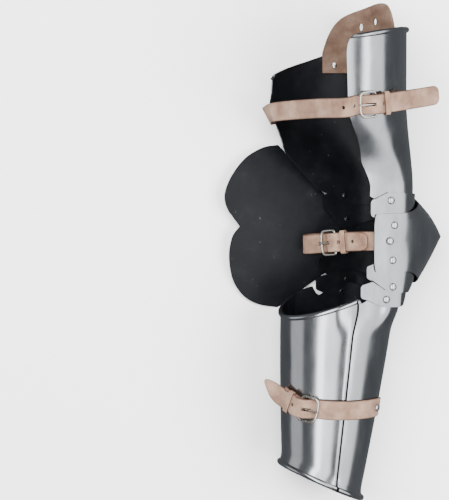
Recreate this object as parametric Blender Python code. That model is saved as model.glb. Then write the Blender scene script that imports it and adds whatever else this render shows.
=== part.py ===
"""Arm harness: steel upper and lower cannons, a winged elbow cup with three lames, and three leather straps.

The arm's own frame, in millimetres: x points back to the tip of the elbow, y up the arm and z to the
inner side of the arm. The whole assembly is then laid on its outer side, with its opening upwards.
"""
import math

import bmesh
import bpy
from mathutils import Matrix, Vector

MM = 0.001

# Sheet, leather and the clearances between pieces
SHEET = 1.2
GAP = 0.4
LEATHER = 2.2
TAB_LEATHER = 3.0
SEAT = 0.3

# Pivots of the elbow, each a pair of rivets on one axis along z: (x, y)
PIVOTS = {
    "upper_cannon": (-1.5, 43.5),
    "upper_lame": (1.8, 17.9),
    "lower_lame_a": (0.0, -18.3),
    "lower_lame_b": (1.2, -46.1),
    "lower_cannon": (-5.5, -59.1),
}
CARRIERS = {
    "couter": "lying_pose",
    "upper_lame": "couter",
    "upper_cannon": "upper_lame",
    "lower_lame_a": "couter",
    "lower_lame_b": "lower_lame_a",
    "lower_cannon": "lower_lame_b",
}

# Elbow: the outermost plate's half width, and how far back its flat sides reach
ELBOW_HALF = 51.2
NEST = SHEET + GAP
FLAT = 10.0
ARC_STEP = 15
EAR = 9.0

# Elbow cup: its ridge and its wing
CUP_TIP = 88.5
CUP_TIP_HEIGHT = 0.0
CUP_TOP = 42.0
CUP_BOTTOM = -48.0
CUP_TOP_REACH = 51.0
CUP_BOTTOM_REACH = 51.0
CUP_FRONT = -22.0
CUP_SIDE_TOP = 30.0
CUP_SIDE_BOTTOM = -30.0
WING_REACH = 128.0
WING_HEIGHT = 97.0
WING_START = 31.0
WING_SLOPE = 0.30
WING_EASE = 6.0

# Upper cannon
UPPER_RADIUS = 74.5
UPPER_CENTRE = -41.0
UPPER_ELBOW_REACH = 44.0
UPPER_TOP = 222.0
UPPER_BOTTOM = 30.5
UPPER_ROUND = 142.0
UPPER_OPENS = 60.0
ROLL = 2.6
ROLL_WIDTH = 5.5

# Lames
UPPER_LAME_REACH = 46.6
UPPER_LAME_TOP = 47.5
UPPER_LAME_BOTTOM = 22.0
UPPER_LAME_FRONT = -25.5
LAME_A_RADIUS = 51.0
LAME_A_TOP = -28.0
LAME_A_BOTTOM = -54.0
LAME_A_FRONT = -30.0
LAME_B_RADIUS = 33.0
LAME_B_TOP = -43.0
LAME_B_BOTTOM = -64.5
LAME_B_FRONT = -36.0

# Lower cannon
LOWER_TOP_HALF = 63.0
LOWER_TOP_SIDE = 50.0
LOWER_WRIST_HALF = 46.0
LOWER_WRIST_SIDE = 41.0
LOWER_TOP_CENTRE = -37.0
LOWER_WRIST_CENTRE = -53.0
TAPER_TOP = -68.0
LOWER_RIM = -74.5
RIM_RISE = 23.0
RIM_LOW_ANGLE = 172.0
LOWER_END = -253.0
END_SLANT = 19.0
END_TURN = 6.0
LOWER_NECK = -236.0
FLARE = 3.2
FLARE_LENGTH = 14.0
LOWER_DRAWN_FROM = -98.0
LOWER_DRAWN_TO = -69.0
SEAM_ANGLE = 95.0
LAP_DROP = 1.7
LAP_TUCK = 0.5
SEAM_LAP = 10.0
HINGE_ANGLE = 232.0
HINGE_LAP = 9.0

# Arming tab
TAB_FROM = -71.0
TAB_TO = 0.0
TAB_RISE = 33.5
TAB_FOOT = 173.0
TAB_COLUMNS = 10
TAB_ROOM = 0.7
TAB_RIVET_ANGLES = (-61.0, -33.0, -8.0)
LACE_ANGLES = (-37.0, -23.0)
LACE_RISE = 15.0
LACE_HOLE = 2.4
LACE_TALL = 4.0

# Straps and buckles
STRAP_WIDTH = 20.0
WIRE = 1.4
BUCKLE_LENGTH = 18.0
BUCKLE_WIDTH = 25.0
KEEPER_WIDTH = 6.0
PRONG = 1.0

# Rivets
RIVET_HEAD = 4.0
RIVET_DOME = 2.3
RIVET_SHANK = 1.6
RIVET_HOLE = 1.95
RIVET_TAIL = 2.9
RIVET_SIDES = 7

# How the piece lies: turned about the arm's length, then tipped end to end
LIE_TURN = math.radians(15.1)
LIE_TIP = math.radians(3.5)

STEEL = ("polished_steel", (0.62, 0.63, 0.65), 0.22, 1.0)
HIDE = ("strap_leather", (0.62, 0.42, 0.33), 0.7, 0.0)
TAB_HIDE = ("tab_leather", (0.42, 0.33, 0.28), 0.85, 0.0)
NICKEL = ("buckle_nickel", (0.7, 0.69, 0.66), 0.25, 1.0)
RIVET_STEEL = ("rivet_steel", (0.66, 0.66, 0.67), 0.3, 1.0)


def clear_scene():
    for obj in list(bpy.data.objects):
        bpy.data.objects.remove(obj, do_unlink=True)


def material(spec):
    name, colour, roughness, metallic = spec
    found = bpy.data.materials.get(name)
    if found:
        return found
    made = bpy.data.materials.new(name)
    made.use_nodes = True
    shader = made.node_tree.nodes["Principled BSDF"]
    shader.inputs["Base Color"].default_value = (*colour, 1.0)
    shader.inputs["Roughness"].default_value = roughness
    shader.inputs["Metallic"].default_value = metallic
    return made


def lerp(a, b, t):
    return a + (b - a) * t


def table(rows, x):
    """Smooth value at x from rows of (x, value), in rising x."""
    if x <= rows[0][0]:
        return rows[0][1]
    for (x0, y0), (x1, y1) in zip(rows, rows[1:]):
        if x <= x1:
            return lerp(y0, y1, (x - x0) / (x1 - x0))
    return rows[-1][1]


def make_bodies():
    """One empty for the lying pose, and one for each body on its pivot."""
    lying = bpy.data.objects.new("lying_pose", None)
    bpy.context.collection.objects.link(lying)
    bodies = {"lying_pose": (lying, Vector((0, 0, 0)))}
    for name, carried_by in CARRIERS.items():
        empty = bpy.data.objects.new(name + "_body", None)
        bpy.context.collection.objects.link(empty)
        place = Vector((*PIVOTS.get(name, (0.0, 0.0)), 0.0))
        carrier = bodies[carried_by]
        empty.parent = carrier[0]
        empty.location = (place - carrier[1]) * MM
        bodies[name] = (empty, place)
    return bodies


def add_piece(name, body, mesh_data, spec, cutters=()):
    """Make an object from bmesh data in arm coordinates and hang it on its body's empty."""
    parent, origin = BODIES[body]
    for vert in mesh_data.verts:
        vert.co = (vert.co - origin) * MM
    bmesh.ops.triangulate(mesh_data, faces=[f for f in mesh_data.faces if len(f.verts) > 3])
    bmesh.ops.recalc_face_normals(mesh_data, faces=mesh_data.faces)
    mesh = bpy.data.meshes.new(name)
    mesh_data.to_mesh(mesh)
    mesh_data.free()
    mesh.shade_smooth()
    mesh.set_sharp_from_angle(angle=math.radians(35))
    mesh.materials.append(material(spec))
    obj = bpy.data.objects.new(name, mesh)
    bpy.context.collection.objects.link(obj)
    obj.parent = parent
    for cutter in cutters:
        cut = obj.modifiers.new("hole", "BOOLEAN")
        cut.operation = "DIFFERENCE"
        cut.solver = "EXACT"
        cut.object = cutter
    return obj


def grid_shell(rows, thick, lifts=None, weights=None):
    """A closed wall from a grid of outer points: the inner skin lies thick below it.

    Rows run up the arm, and each row runs from the inner side round the back to the outer side.
    lifts raises each row's outer point off the sheet, for a rolled edge, and weights scales it by column.
    """
    count = len(rows)
    width = len(rows[0])
    normals = []
    for r in range(count):
        line = []
        for c in range(width):
            across = rows[r][min(c + 1, width - 1)] - rows[r][max(c - 1, 0)]
            along = rows[min(r + 1, count - 1)][c] - rows[max(r - 1, 0)][c]
            line.append(across.cross(along).normalized())
        normals.append(line)
    mesh = bmesh.new()
    outer, inner = [], []
    for r in range(count):
        lift = [(lifts[r] if lifts else 0.0) * (weights[c] if weights else 1.0) for c in range(width)]
        outer.append([mesh.verts.new(rows[r][c] + normals[r][c] * lift[c]) for c in range(width)])
        inner.append([mesh.verts.new(rows[r][c] - normals[r][c] * thick) for c in range(width)])
    for r in range(count - 1):
        for c in range(width - 1):
            mesh.faces.new((outer[r][c], outer[r][c + 1], outer[r + 1][c + 1], outer[r + 1][c]))
            mesh.faces.new((inner[r][c], inner[r + 1][c], inner[r + 1][c + 1], inner[r][c + 1]))
    for c in range(width - 1):
        mesh.faces.new((outer[0][c + 1], outer[0][c], inner[0][c], inner[0][c + 1]))
        mesh.faces.new((outer[-1][c], outer[-1][c + 1], inner[-1][c + 1], inner[-1][c]))
    for r in range(count - 1):
        mesh.faces.new((outer[r][0], outer[r + 1][0], inner[r + 1][0], inner[r][0]))
        mesh.faces.new((outer[r + 1][-1], outer[r][-1], inner[r][-1], inner[r + 1][-1]))
    return mesh


def tube_along(path, radius, sides, closed=False, side_axis=Vector((0, 1, 0))):
    """A round bar swept along a path; side_axis is never parallel to the path."""
    mesh = bmesh.new()
    rings = []
    count = len(path)
    for i, point in enumerate(path):
        ahead = path[(i + 1) % count] if closed else path[min(i + 1, count - 1)]
        behind = path[i - 1] if closed else path[max(i - 1, 0)]
        tangent = (ahead - behind).normalized()
        one = tangent.cross(side_axis).normalized()
        two = tangent.cross(one).normalized()
        ring = []
        for k in range(sides):
            angle = 2 * math.pi * k / sides
            ring.append(mesh.verts.new(point + (one * math.cos(angle) + two * math.sin(angle)) * radius))
        rings.append(ring)
    last = count if closed else count - 1
    for i in range(last):
        a, b = rings[i], rings[(i + 1) % count]
        for k in range(sides):
            j = (k + 1) % sides
            mesh.faces.new((a[k], a[j], b[j], b[k]))
    if not closed:
        mesh.faces.new(list(reversed(rings[0])))
        mesh.faces.new(rings[-1])
    return mesh


def ribbon(path, widths, width, thick, end_taper=None):
    """A flat strap along a path of middle points, each with its width direction.

    end_taper gives the last points' width shares.
    """
    mesh = bmesh.new()
    rings = []
    count = len(path)
    for i, point in enumerate(path):
        tangent = (path[min(i + 1, count - 1)] - path[max(i - 1, 0)]).normalized()
        face = tangent.cross(widths[i]).normalized()
        side = face.cross(tangent).normalized()
        share = 1.0
        if end_taper and i >= count - len(end_taper):
            share = end_taper[i - count + len(end_taper)]
        half = side * (width / 2 * share)
        up = face * (thick / 2)
        rings.append([mesh.verts.new(point + half + up), mesh.verts.new(point - half + up),
                      mesh.verts.new(point - half - up), mesh.verts.new(point + half - up)])
    for a, b in zip(rings, rings[1:]):
        for k in range(4):
            j = (k + 1) % 4
            mesh.faces.new((a[k], a[j], b[j], b[k]))
    mesh.faces.new(list(reversed(rings[0])))
    mesh.faces.new(rings[-1])
    return mesh


def smooth_path(points, step):
    """Points at even steps along a smooth curve through the given ones."""
    ends = [points[0] * 2 - points[1]] + list(points) + [points[-1] * 2 - points[-2]]
    fine = []
    for i in range(1, len(ends) - 2):
        a, b, c, d = ends[i - 1], ends[i], ends[i + 1], ends[i + 2]
        for k in range(12):
            t = k / 12
            fine.append(0.5 * ((b * 2) + (c - a) * t + (a * 2 - b * 5 + c * 4 - d) * t * t
                               + (b * 3 - a - c * 3 + d) * t ** 3))
    fine.append(points[-1])
    total = sum((q - p).length for p, q in zip(fine, fine[1:]))
    pieces = max(2, round(total / step))
    out = [fine[0]]
    walked = 0.0
    target = total / pieces
    for p, q in zip(fine, fine[1:]):
        length = (q - p).length
        while walked + length >= target and len(out) < pieces:
            out.append(p.lerp(q, (target - walked) / length))
            target += total / pieces
        walked += length
    out.append(fine[-1])
    return out


def frame_of(direction):
    axis = direction.normalized()
    helper = Vector((0, 1, 0)) if abs(axis.y) < 0.8 else Vector((1, 0, 0))
    one = helper.cross(axis).normalized()
    return one, axis.cross(one), axis


def add_rivet(name, body, base, direction, grip):
    """A domed rivet: its head sits on base, and its shank and peened tail reach grip below it."""
    one, two, axis = frame_of(direction)
    profile = [
        (0.0, RIVET_DOME),
        (RIVET_HEAD * 0.62, RIVET_DOME * 0.8),
        (RIVET_HEAD, SEAT + 0.2),
        (RIVET_HEAD, SEAT),
        (RIVET_SHANK, SEAT),
        (RIVET_SHANK, -grip - SEAT),
        (RIVET_TAIL, -grip - SEAT),
        (RIVET_TAIL, -grip - SEAT - 0.5),
        (0.0, -grip - SEAT - 1.0),
    ]
    mesh = bmesh.new()
    rings = []
    for radius, height in profile:
        centre = base + axis * height
        if radius == 0.0:
            rings.append([mesh.verts.new(centre)])
            continue
        ring = []
        for k in range(RIVET_SIDES):
            angle = 2 * math.pi * k / RIVET_SIDES
            ring.append(mesh.verts.new(centre + (one * math.cos(angle) + two * math.sin(angle)) * radius))
        rings.append(ring)
    for a, b in zip(rings, rings[1:]):
        for k in range(RIVET_SIDES):
            j = (k + 1) % RIVET_SIDES
            if len(a) == 1:
                mesh.faces.new((a[0], b[k], b[j]))
            elif len(b) == 1:
                mesh.faces.new((a[k], b[0], a[j]))
            else:
                mesh.faces.new((a[k], b[k], b[j], a[j]))
    return add_piece(name, body, mesh, RIVET_STEEL)


def cutter(name, body, mesh):
    obj = add_piece(name, body, mesh, STEEL)
    obj.hide_render = True
    obj.display_type = "WIRE"
    return obj


def hole_cutter(name, body, base, direction, depth=8.0, radius=RIVET_HOLE):
    axis = direction.normalized()
    path = [base + axis * depth, base - axis * depth]
    return cutter(name, body, tube_along(path, radius, RIVET_SIDES, side_axis=frame_of(axis)[0]))


# Columns round the elbow plates: the inner leg, the back, and the outer leg
def leg_columns(shares):
    inner = [("inner", s) for s in shares]
    arcs = [("arc", a) for a in range(90 - ARC_STEP, -90, -ARC_STEP)]
    outer = [("outer", s) for s in reversed(shares)]
    return inner + arcs + outer


def half_width(level):
    return ELBOW_HALF - level * NEST


def plate_point(column, height, reach, front, half, pivot=None, hidden=0):
    """A point on an elbow plate: flat legs from front to FLAT, then a half ellipse to reach.

    Past the pivot, on its hidden side (+1 above, -1 below), the plate follows circles about the pivot.
    """
    kind, value = column
    if kind != "arc":
        side = half if kind == "inner" else -half
        return Vector((lerp(front, FLAT, 1 - value), height, side))
    angle = math.radians(value)
    back = FLAT + (reach - FLAT) * math.cos(angle)
    if pivot and (height - pivot[1]) * hidden > 0:
        radius = back - pivot[0]
        rise = height - pivot[1]
        back = pivot[0] + math.sqrt(max(radius * radius - rise * rise, 1.0))
    return Vector((back, height, half * math.sin(angle)))


def column_turn(column):
    """0 at the fronts of the legs, 1 at the ridge."""
    kind, value = column
    if kind != "arc":
        return 0.0
    return math.cos(math.radians(value))


def lame_rows(columns, top, bottom, count, point):
    rows = []
    for r in range(count + 1):
        share = r / count
        rows.append([point(c, lerp(bottom(c), top(c), share)) for c in columns])
    return rows


def edge(leg_front, leg_mid, leg_back, ridge, power=1.0):
    """An edge's height by column: at the leg's front, at the pivot, where the leg ends, and at the ridge."""
    def height(column):
        kind, value = column
        if kind == "arc":
            return lerp(leg_back, ridge, column_turn(column) ** power)
        if value > 0.5:
            return lerp(leg_mid, leg_front, (value - 0.5) * 2)
        return lerp(leg_back, leg_mid, value * 2)
    return height


LEG = (1.0, 0.75, 0.5, 0.25, 0.0)


def pivot_base(name, side, level):
    x, y = PIVOTS[name]
    return Vector((x, y, side * half_width(level)))


def pivot_holes(name, body, level):
    """Clearance holes through both legs of a plate at one pivot."""
    out = []
    for side, word in ((1, "inner"), (-1, "outer")):
        base = pivot_base(name, side, level)
        out.append(hole_cutter(f"cut_{name}_{body}_{word}", body, base, Vector((0, 0, side)), depth=4.0))
    return out


def cup_reach(height):
    top = (CUP_TOP - CUP_TIP_HEIGHT)
    bottom = (CUP_TIP_HEIGHT - CUP_BOTTOM)
    if height >= CUP_TIP_HEIGHT:
        t = (height - CUP_TIP_HEIGHT) / top
        return lerp(CUP_TIP, CUP_TOP_REACH, t) + 5.0 * math.sin(math.pi * t) * 0.9
    t = (CUP_TIP_HEIGHT - height) / bottom
    return lerp(CUP_TIP, CUP_BOTTOM_REACH, t) + 5.0 * math.sin(math.pi * t) * 0.4


# The wing's rim from its lower to its upper end: shares of WING_REACH forward and WING_HEIGHT up
WING_RIM = [
    (0.547, -0.776), (0.70, -0.74), (0.82, -0.66), (0.90, -0.54), (0.945, -0.41), (0.968, -0.24),
    (0.965, -0.10), (0.940, 0.03), (0.885, 0.125), (0.942, 0.235), (0.985, 0.33), (1.0, 0.46),
    (0.965, 0.60), (0.895, 0.745), (0.795, 0.88), (0.655, 0.975), (0.525, 1.0),
]
WING_COLUMNS = 7


def wing_side(x, y):
    """How far out the wing lies from the leg's plane, by the distance from the elbow's axis."""
    over = max(0.0, math.hypot(x, y) - WING_START)
    return WING_SLOPE * over * over / (over + WING_EASE)


def couter_rows():
    columns = leg_columns(LEG)
    rows = []
    count = len(WING_RIM) - 1
    for r, (forward, up) in enumerate(WING_RIM):
        share = r / count
        line = []
        for column in columns[:-len(LEG)]:
            turn = column_turn(column)
            top = lerp(CUP_SIDE_TOP, CUP_TOP, turn ** 2)
            bottom = lerp(CUP_SIDE_BOTTOM, CUP_BOTTOM, turn ** 2)
            height = lerp(bottom, top, share)
            kind, value = column
            half = half_width(0)
            if kind == "inner":
                line.append(Vector((lerp(CUP_FRONT, FLAT, 1 - value), height, half)))
                continue
            m = abs(math.sin(math.radians(value)))
            reach = cup_reach(lerp(CUP_BOTTOM, CUP_TOP, share))
            sharp = min(1.0, max(0.0, (reach - CUP_TOP_REACH) / (CUP_TIP - CUP_TOP_REACH)))
            keel = lerp(math.sqrt(1 - m * m), (1 - m ** 1.5) ** 0.7, sharp)
            side = half * math.sin(math.radians(value))
            line.append(Vector((FLAT + (reach - FLAT) * keel, height, side)))
        root_height = lerp(CUP_SIDE_BOTTOM, CUP_SIDE_TOP, share)
        for x in (FLAT, 0.0):
            line.append(Vector((x, root_height, -half_width(0))))
        rim = Vector((-WING_REACH * forward, WING_HEIGHT * up, 0.0))
        root = Vector((-10.0, root_height, 0.0))
        for k in range(WING_COLUMNS + 1):
            place = root.lerp(rim, (k / WING_COLUMNS) ** 0.9)
            place.z = -half_width(0) - wing_side(place.x, place.y)
            line.append(place)
        rows.append(line)
    return rows


def upper_blend(height):
    t = (height - UPPER_OPENS) / (UPPER_ROUND - UPPER_OPENS)
    t = min(max(t, 0.0), 1.0)
    return t * t * (3 - 2 * t) * 0.5 + 0.5 * t


# Where the upper cannon's edges lie, by share of the height from pivot to rim: degrees from the back
INNER_EDGE = [(0.0, 126), (0.21, 124), (0.3, 117), (0.39, 112), (0.6, 109), (0.86, 110), (0.90, 109.3), (0.925, 108),
              (0.945, 105.8), (0.958, 103), (0.966, 100.5), (1.0, 100)]
OUTER_EDGE = [(0.0, 128), (0.03, 133), (0.115, 146), (0.205, 154), (0.277, 159), (0.356, 150), (0.43, 139), (0.49, 131),
              (0.6, 124.5), (0.69, 122.5), (0.708, 119.5), (1.0, 119)]
# The share at which each edge meets the rim
RIM_SHARE = {"inner": 0.955, "arc": 1.0, "outer": 0.70}
# The rim's height by the same angle: shares of UPPER_TOP
RIM_BY_ANGLE = [(-125, 0.765), (-105, 0.80), (-80, 0.842), (-40, 0.925), (0, 0.985), (50, 1.0), (112, 0.965)]


def upper_point(angle, height):
    """A point on the upper cannon: a narrow elbow section that opens into a round one."""
    blend = upper_blend(height)
    half = half_width(2)
    pivot = PIVOTS["upper_cannon"]
    rad = math.radians(angle)
    if abs(angle) <= 90:
        back = FLAT + (UPPER_ELBOW_REACH - FLAT) * math.cos(rad)
        if height < pivot[1]:
            radius = back - pivot[0]
            rise = height - pivot[1]
            back = pivot[0] + math.sqrt(max(radius * radius - rise * rise, 1.0))
            back = lerp(back, FLAT, 1 - min(1.0, math.cos(rad) * 6))
        low = Vector((back, height, half * math.sin(rad)))
    else:
        low = Vector((FLAT - (abs(angle) - 90), height, math.copysign(half, angle)))
    high = Vector((UPPER_CENTRE + UPPER_RADIUS * math.cos(rad), height, UPPER_RADIUS * math.sin(rad)))
    return low.lerp(high, blend)


UPPER_ROWS = 11
UPPER_LEG = (1.0, 0.66, 0.33, 0.0)


def upper_angle(column, height_share):
    kind, value = column
    if kind == "arc":
        return float(value)
    if kind == "inner":
        return lerp(90, table(INNER_EDGE, height_share), value)
    return -lerp(90, table(OUTER_EDGE, height_share), value)


def upper_bottom(angle):
    turn = max(0.0, math.cos(math.radians(angle)))
    ear = PIVOTS["upper_cannon"][1] - EAR
    front = max(0.0, abs(angle) - 100) * 0.55
    return lerp(ear, UPPER_BOTTOM, turn) + front


def upper_cannon_rows():
    columns = leg_columns(UPPER_LEG)
    low = PIVOTS["upper_cannon"][1]
    rows = []
    shares = [r / UPPER_ROWS for r in range(UPPER_ROWS)]
    for share in shares:
        line = []
        for column in columns:
            angle = upper_angle(column, max(0.0, share * 1.04 - 0.04))
            height = lerp(upper_bottom(angle), UPPER_TOP * table(RIM_BY_ANGLE, angle) - ROLL_WIDTH, share)
            angle = upper_angle(column, (height - low) / (UPPER_TOP - low))
            line.append(upper_point(angle, height))
        rows.append(line)
    for step in (0.0, 0.3, 0.7, 1.0):
        line = []
        for column in columns:
            angle = upper_angle(column, RIM_SHARE[column[0]])
            height = UPPER_TOP * table(RIM_BY_ANGLE, angle) - ROLL_WIDTH * (1 - step)
            angle = upper_angle(column, (height - low) / (UPPER_TOP - low))
            line.append(upper_point(angle, height))
        rows.append(line)
    lifts = [0.0] * (UPPER_ROWS + 1) + [ROLL * 0.85, ROLL, ROLL * 0.4]
    return rows, lifts


def lower_section(height):
    """Centre and half widths of the lower cannon at a height."""
    t = max((TAPER_TOP - height) / (TAPER_TOP - LOWER_NECK), 0.0)
    ease = t ** 1.25
    centre = lerp(LOWER_TOP_CENTRE, LOWER_WRIST_CENTRE, t)
    across = lerp(LOWER_TOP_HALF, LOWER_WRIST_HALF, ease)
    side = lerp(LOWER_TOP_SIDE, LOWER_WRIST_SIDE, ease)
    return centre, across, side


def lower_point(angle, height, inset=0.0):
    """A point on the lower cannon: an oval tube whose top is drawn into flat legs at the last pivot."""
    centre, across, side = lower_section(height)
    flare = max(0.0, 1 - (height - lower_end(angle)) / FLARE_LENGTH)
    across += FLARE * flare ** 1.6
    side += FLARE * flare ** 1.6
    rad = math.radians(angle)
    turn = abs((angle + 180) % 360 - 180)
    drawn = min(max((height - LOWER_DRAWN_FROM) / (LOWER_DRAWN_TO - LOWER_DRAWN_FROM), 0.0), 1.0)
    drawn = drawn * drawn * (3 - 2 * drawn)
    x = centre + (across - inset) * math.cos(rad) + drawn * table(LEG_BACK_SHIFT, turn)
    z = (side - inset) * math.sin(rad)
    return Vector((x, height, z + drawn * table(LEG_SIDE_SHIFT, turn) * math.copysign(1.0, z)))


def lower_rim(angle):
    """The slanted top rim: lowest in front, in the crook of the arm."""
    return LOWER_RIM + RIM_RISE * (1 - math.cos(math.radians(angle - RIM_LOW_ANGLE)))


def lower_end(angle):
    """The wrist rim, lower at the back and a little on the inner side."""
    rad = math.radians(angle)
    return LOWER_END - END_SLANT * math.cos(rad) - END_TURN * math.sin(rad)


# How the lower cannon's top is drawn into its legs, by the angle from the back: back and out, and the edge's
# height above the last pivot
LEG_BACK_SHIFT = [(0, -0.5), (15, 0.6), (30, 2.4), (45, 5.5), (60, 6.5), (75, 6.7), (90, 6.0), (115, 0.0)]
LEG_SIDE_SHIFT = [(0, 0.0), (15, 1.1), (30, 3.0), (45, 4.6), (60, 3.1), (75, -1.9), (90, -3.6), (115, 0.0)]
NECK_TOP = [(0, 4.6), (30, 5.1), (45, 7.0), (60, 9.0), (75, 7.0), (90, -2.0), (98, -8.0), (180, -40.0)]
LOWER_ROWS = 7


def lower_plate_rows(angles, inset, lift_top=True):
    """Rows of a plate from wrist to rim; where it is tucked under past the seam, its top steps down."""
    level = {a: TAPER_TOP - 6.0 * math.sin(math.radians(a)) for a in angles}
    tops = level
    if lift_top:
        tops = {a: lower_rim(max(a, SEAM_ANGLE)) - max(0.0, SEAM_ANGLE - a) * LAP_DROP for a in angles}
        level = {a: min(level[a], tops[a] - 4.0) for a in angles}
    tuck = {a: inset + (LAP_TUCK if lift_top and a <= SEAM_ANGLE else 0.0) for a in angles}
    rows, lifts = [], []
    for step in (1.0, 0.7, 0.3, 0.0):
        rows.append([lower_point(a, lower_end(a) + ROLL_WIDTH * (1 - step), tuck[a]) for a in angles])
    lifts += [ROLL * 0.4, ROLL, ROLL * 0.85, 0.0]
    for r in range(1, LOWER_ROWS):
        share = r / LOWER_ROWS
        rows.append([
            lower_point(a, lerp(lower_end(a) + ROLL_WIDTH, level[a] - ROLL_WIDTH, share), tuck[a])
            for a in angles])
        lifts.append(0.0)
    if lift_top:
        for share in (0.0, 0.5):
            rows.append([
                lower_point(a, lerp(level[a], tops[a], share) - ROLL_WIDTH, tuck[a]) for a in angles])
            lifts.append(0.0)
    for step in (0.0, 0.3, 0.7, 1.0):
        rows.append([lower_point(a, tops[a] - ROLL_WIDTH * (1 - step), tuck[a]) for a in angles])
    lifts += [0.0, ROLL * 0.85, ROLL, ROLL * 0.4] if lift_top else [0.0, 0.0, 0.0, 0.0]
    return rows, lifts


def back_plate_rows():
    """The back plate of the lower cannon, drawn up at the back into the part under the last lame."""
    arcs = [float(a) for a in range(90 - ARC_STEP, -90, -ARC_STEP)]
    angles = [SEAM_ANGLE, 90.0] + arcs + [-90.0, -105.0, -118.0, HINGE_ANGLE - 360.0]
    rows, lifts = lower_plate_rows(angles, 0.0, lift_top=False)
    rows = rows[:-3]
    lifts = lifts[:-3]
    top = PIVOTS["lower_cannon"][1]
    crests = []
    for a in angles:
        crest = top + table(NECK_TOP, abs(a))
        if abs(a) > 90:
            crest = lerp(crest, lower_rim(a), min(1.0, (abs(a) - 90) / 8) ** 2)
        crests.append(crest)
    start = rows[-1]
    for share in (0.3, 0.55, 0.8, 1.0):
        rows.append([lower_point(a, lerp(low.y, crest, share)) for a, low, crest in zip(angles, start, crests)])
        lifts.append(0.0)
    return rows, lifts


def front_plate_rows():
    """The front plate, tucked under the back plate's edges, where it has no roll."""
    start = HINGE_ANGLE + HINGE_LAP
    stop = SEAM_ANGLE - SEAM_LAP
    inner = [lerp(HINGE_ANGLE - 3.0, SEAM_ANGLE + 3.0, k / 9) for k in range(10)]
    angles = [start, HINGE_ANGLE] + inner + [SEAM_ANGLE, stop]
    rows, lifts = lower_plate_rows(angles, NEST)
    return rows, lifts, [0.0, 0.0] + [1.0] * len(inner) + [0.0, 0.0]


def tab_rows():
    rows = []
    inset = SHEET + GAP + TAB_ROOM
    for r in range(6):
        share = r / 5
        line = []
        for k in range(TAB_COLUMNS + 1):
            angle = lerp(TAB_TO, TAB_FROM, k / TAB_COLUMNS)
            rim = UPPER_TOP * table(RIM_BY_ANGLE, angle)
            along = (k / TAB_COLUMNS - 0.5) * 2
            top = rim + TAB_RISE * (1 - abs(along) ** 5 * 0.9)
            height = lerp(TAB_FOOT, top, share)
            rad = math.radians(angle)
            radius = UPPER_RADIUS - inset
            line.append(Vector((UPPER_CENTRE + radius * math.cos(rad), height, radius * math.sin(rad))))
        rows.append(line)
    return rows


def add_plates(strap_holes):
    holes = {name: [] for name in BODIES}
    add_lap_rivets(strap_holes)
    tab_holes = add_tab_rivets(strap_holes)
    holes["upper_cannon"] += strap_holes["upper_cannon"]
    holes["couter"] += strap_holes["couter"]
    holes["couter"] += pivot_holes("upper_lame", "couter", 0) + pivot_holes("lower_lame_a", "couter", 0)
    holes["upper_lame"] += pivot_holes("upper_lame", "upper_lame", 1) + pivot_holes("upper_cannon", "upper_lame", 1)
    holes["upper_cannon"] += pivot_holes("upper_cannon", "upper_cannon", 2)
    holes["lower_lame_a"] += pivot_holes("lower_lame_a", "lower_lame_a", 1)
    holes["lower_lame_a"] += pivot_holes("lower_lame_b", "lower_lame_a", 1)
    holes["lower_lame_b"] += pivot_holes("lower_lame_b", "lower_lame_b", 2)
    holes["lower_lame_b"] += pivot_holes("lower_cannon", "lower_lame_b", 2)
    holes["lower_cannon"] += pivot_holes("lower_cannon", "lower_cannon", 3)

    rows, lifts = upper_cannon_rows()
    add_piece("upper_cannon", "upper_cannon", grid_shell(rows, SHEET, lifts), STEEL, holes["upper_cannon"])
    add_piece("couter", "couter", grid_shell(couter_rows(), SHEET), STEEL, holes["couter"])

    columns = leg_columns(LEG)
    lames = [
        ("upper_lame", 1, UPPER_LAME_FRONT, lambda y: UPPER_LAME_REACH, 0,
         edge(46.0, 52.0, 51.0, UPPER_LAME_TOP), edge(26.0, 8.5, 9.5, UPPER_LAME_BOTTOM), 5),
        ("lower_lame_a", 1, LAME_A_FRONT,
         lambda y: math.sqrt(max(LAME_A_RADIUS ** 2 - (y - PIVOTS["lower_lame_a"][1]) ** 2, 1.0)), 0,
         edge(-22.0, -9.0, -9.5, LAME_A_TOP), edge(-38.0, -49.0, -52.5, LAME_A_BOTTOM), 5),
        ("lower_lame_b", 2, LAME_B_FRONT,
         lambda y: PIVOTS["lower_lame_b"][0] + math.sqrt(
             max(LAME_B_RADIUS ** 2 - min(0.0, y - PIVOTS["lower_lame_b"][1]) ** 2, 1.0)), 1,
         edge(-42.0, -37.0, -37.5, LAME_B_TOP), edge(-58.0, -67.0, -67.5, LAME_B_BOTTOM), 5),
    ]
    for name, level, front, reach, hidden, top, bottom, count in lames:
        def point(column, height, reach=reach, front=front, level=level, name=name, hidden=hidden):
            return plate_point(column, height, reach(height), front, half_width(level), PIVOTS[name], hidden)
        add_piece(name, name, grid_shell(lame_rows(columns, top, bottom, count, point), SHEET),
                  STEEL, holes[name])

    rows, lifts = back_plate_rows()
    add_piece("lower_cannon_back", "lower_cannon", grid_shell(rows, SHEET, lifts), STEEL,
              holes["lower_cannon"] + strap_holes["lower_cannon_back"])
    rows, lifts, weights = front_plate_rows()
    add_piece("lower_cannon_front", "lower_cannon", grid_shell(rows, SHEET, lifts, weights), STEEL,
              strap_holes["lower_cannon_front"])
    add_piece("arming_tab", "upper_cannon", grid_shell(tab_rows(), TAB_LEATHER), TAB_HIDE, tab_holes)


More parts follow.
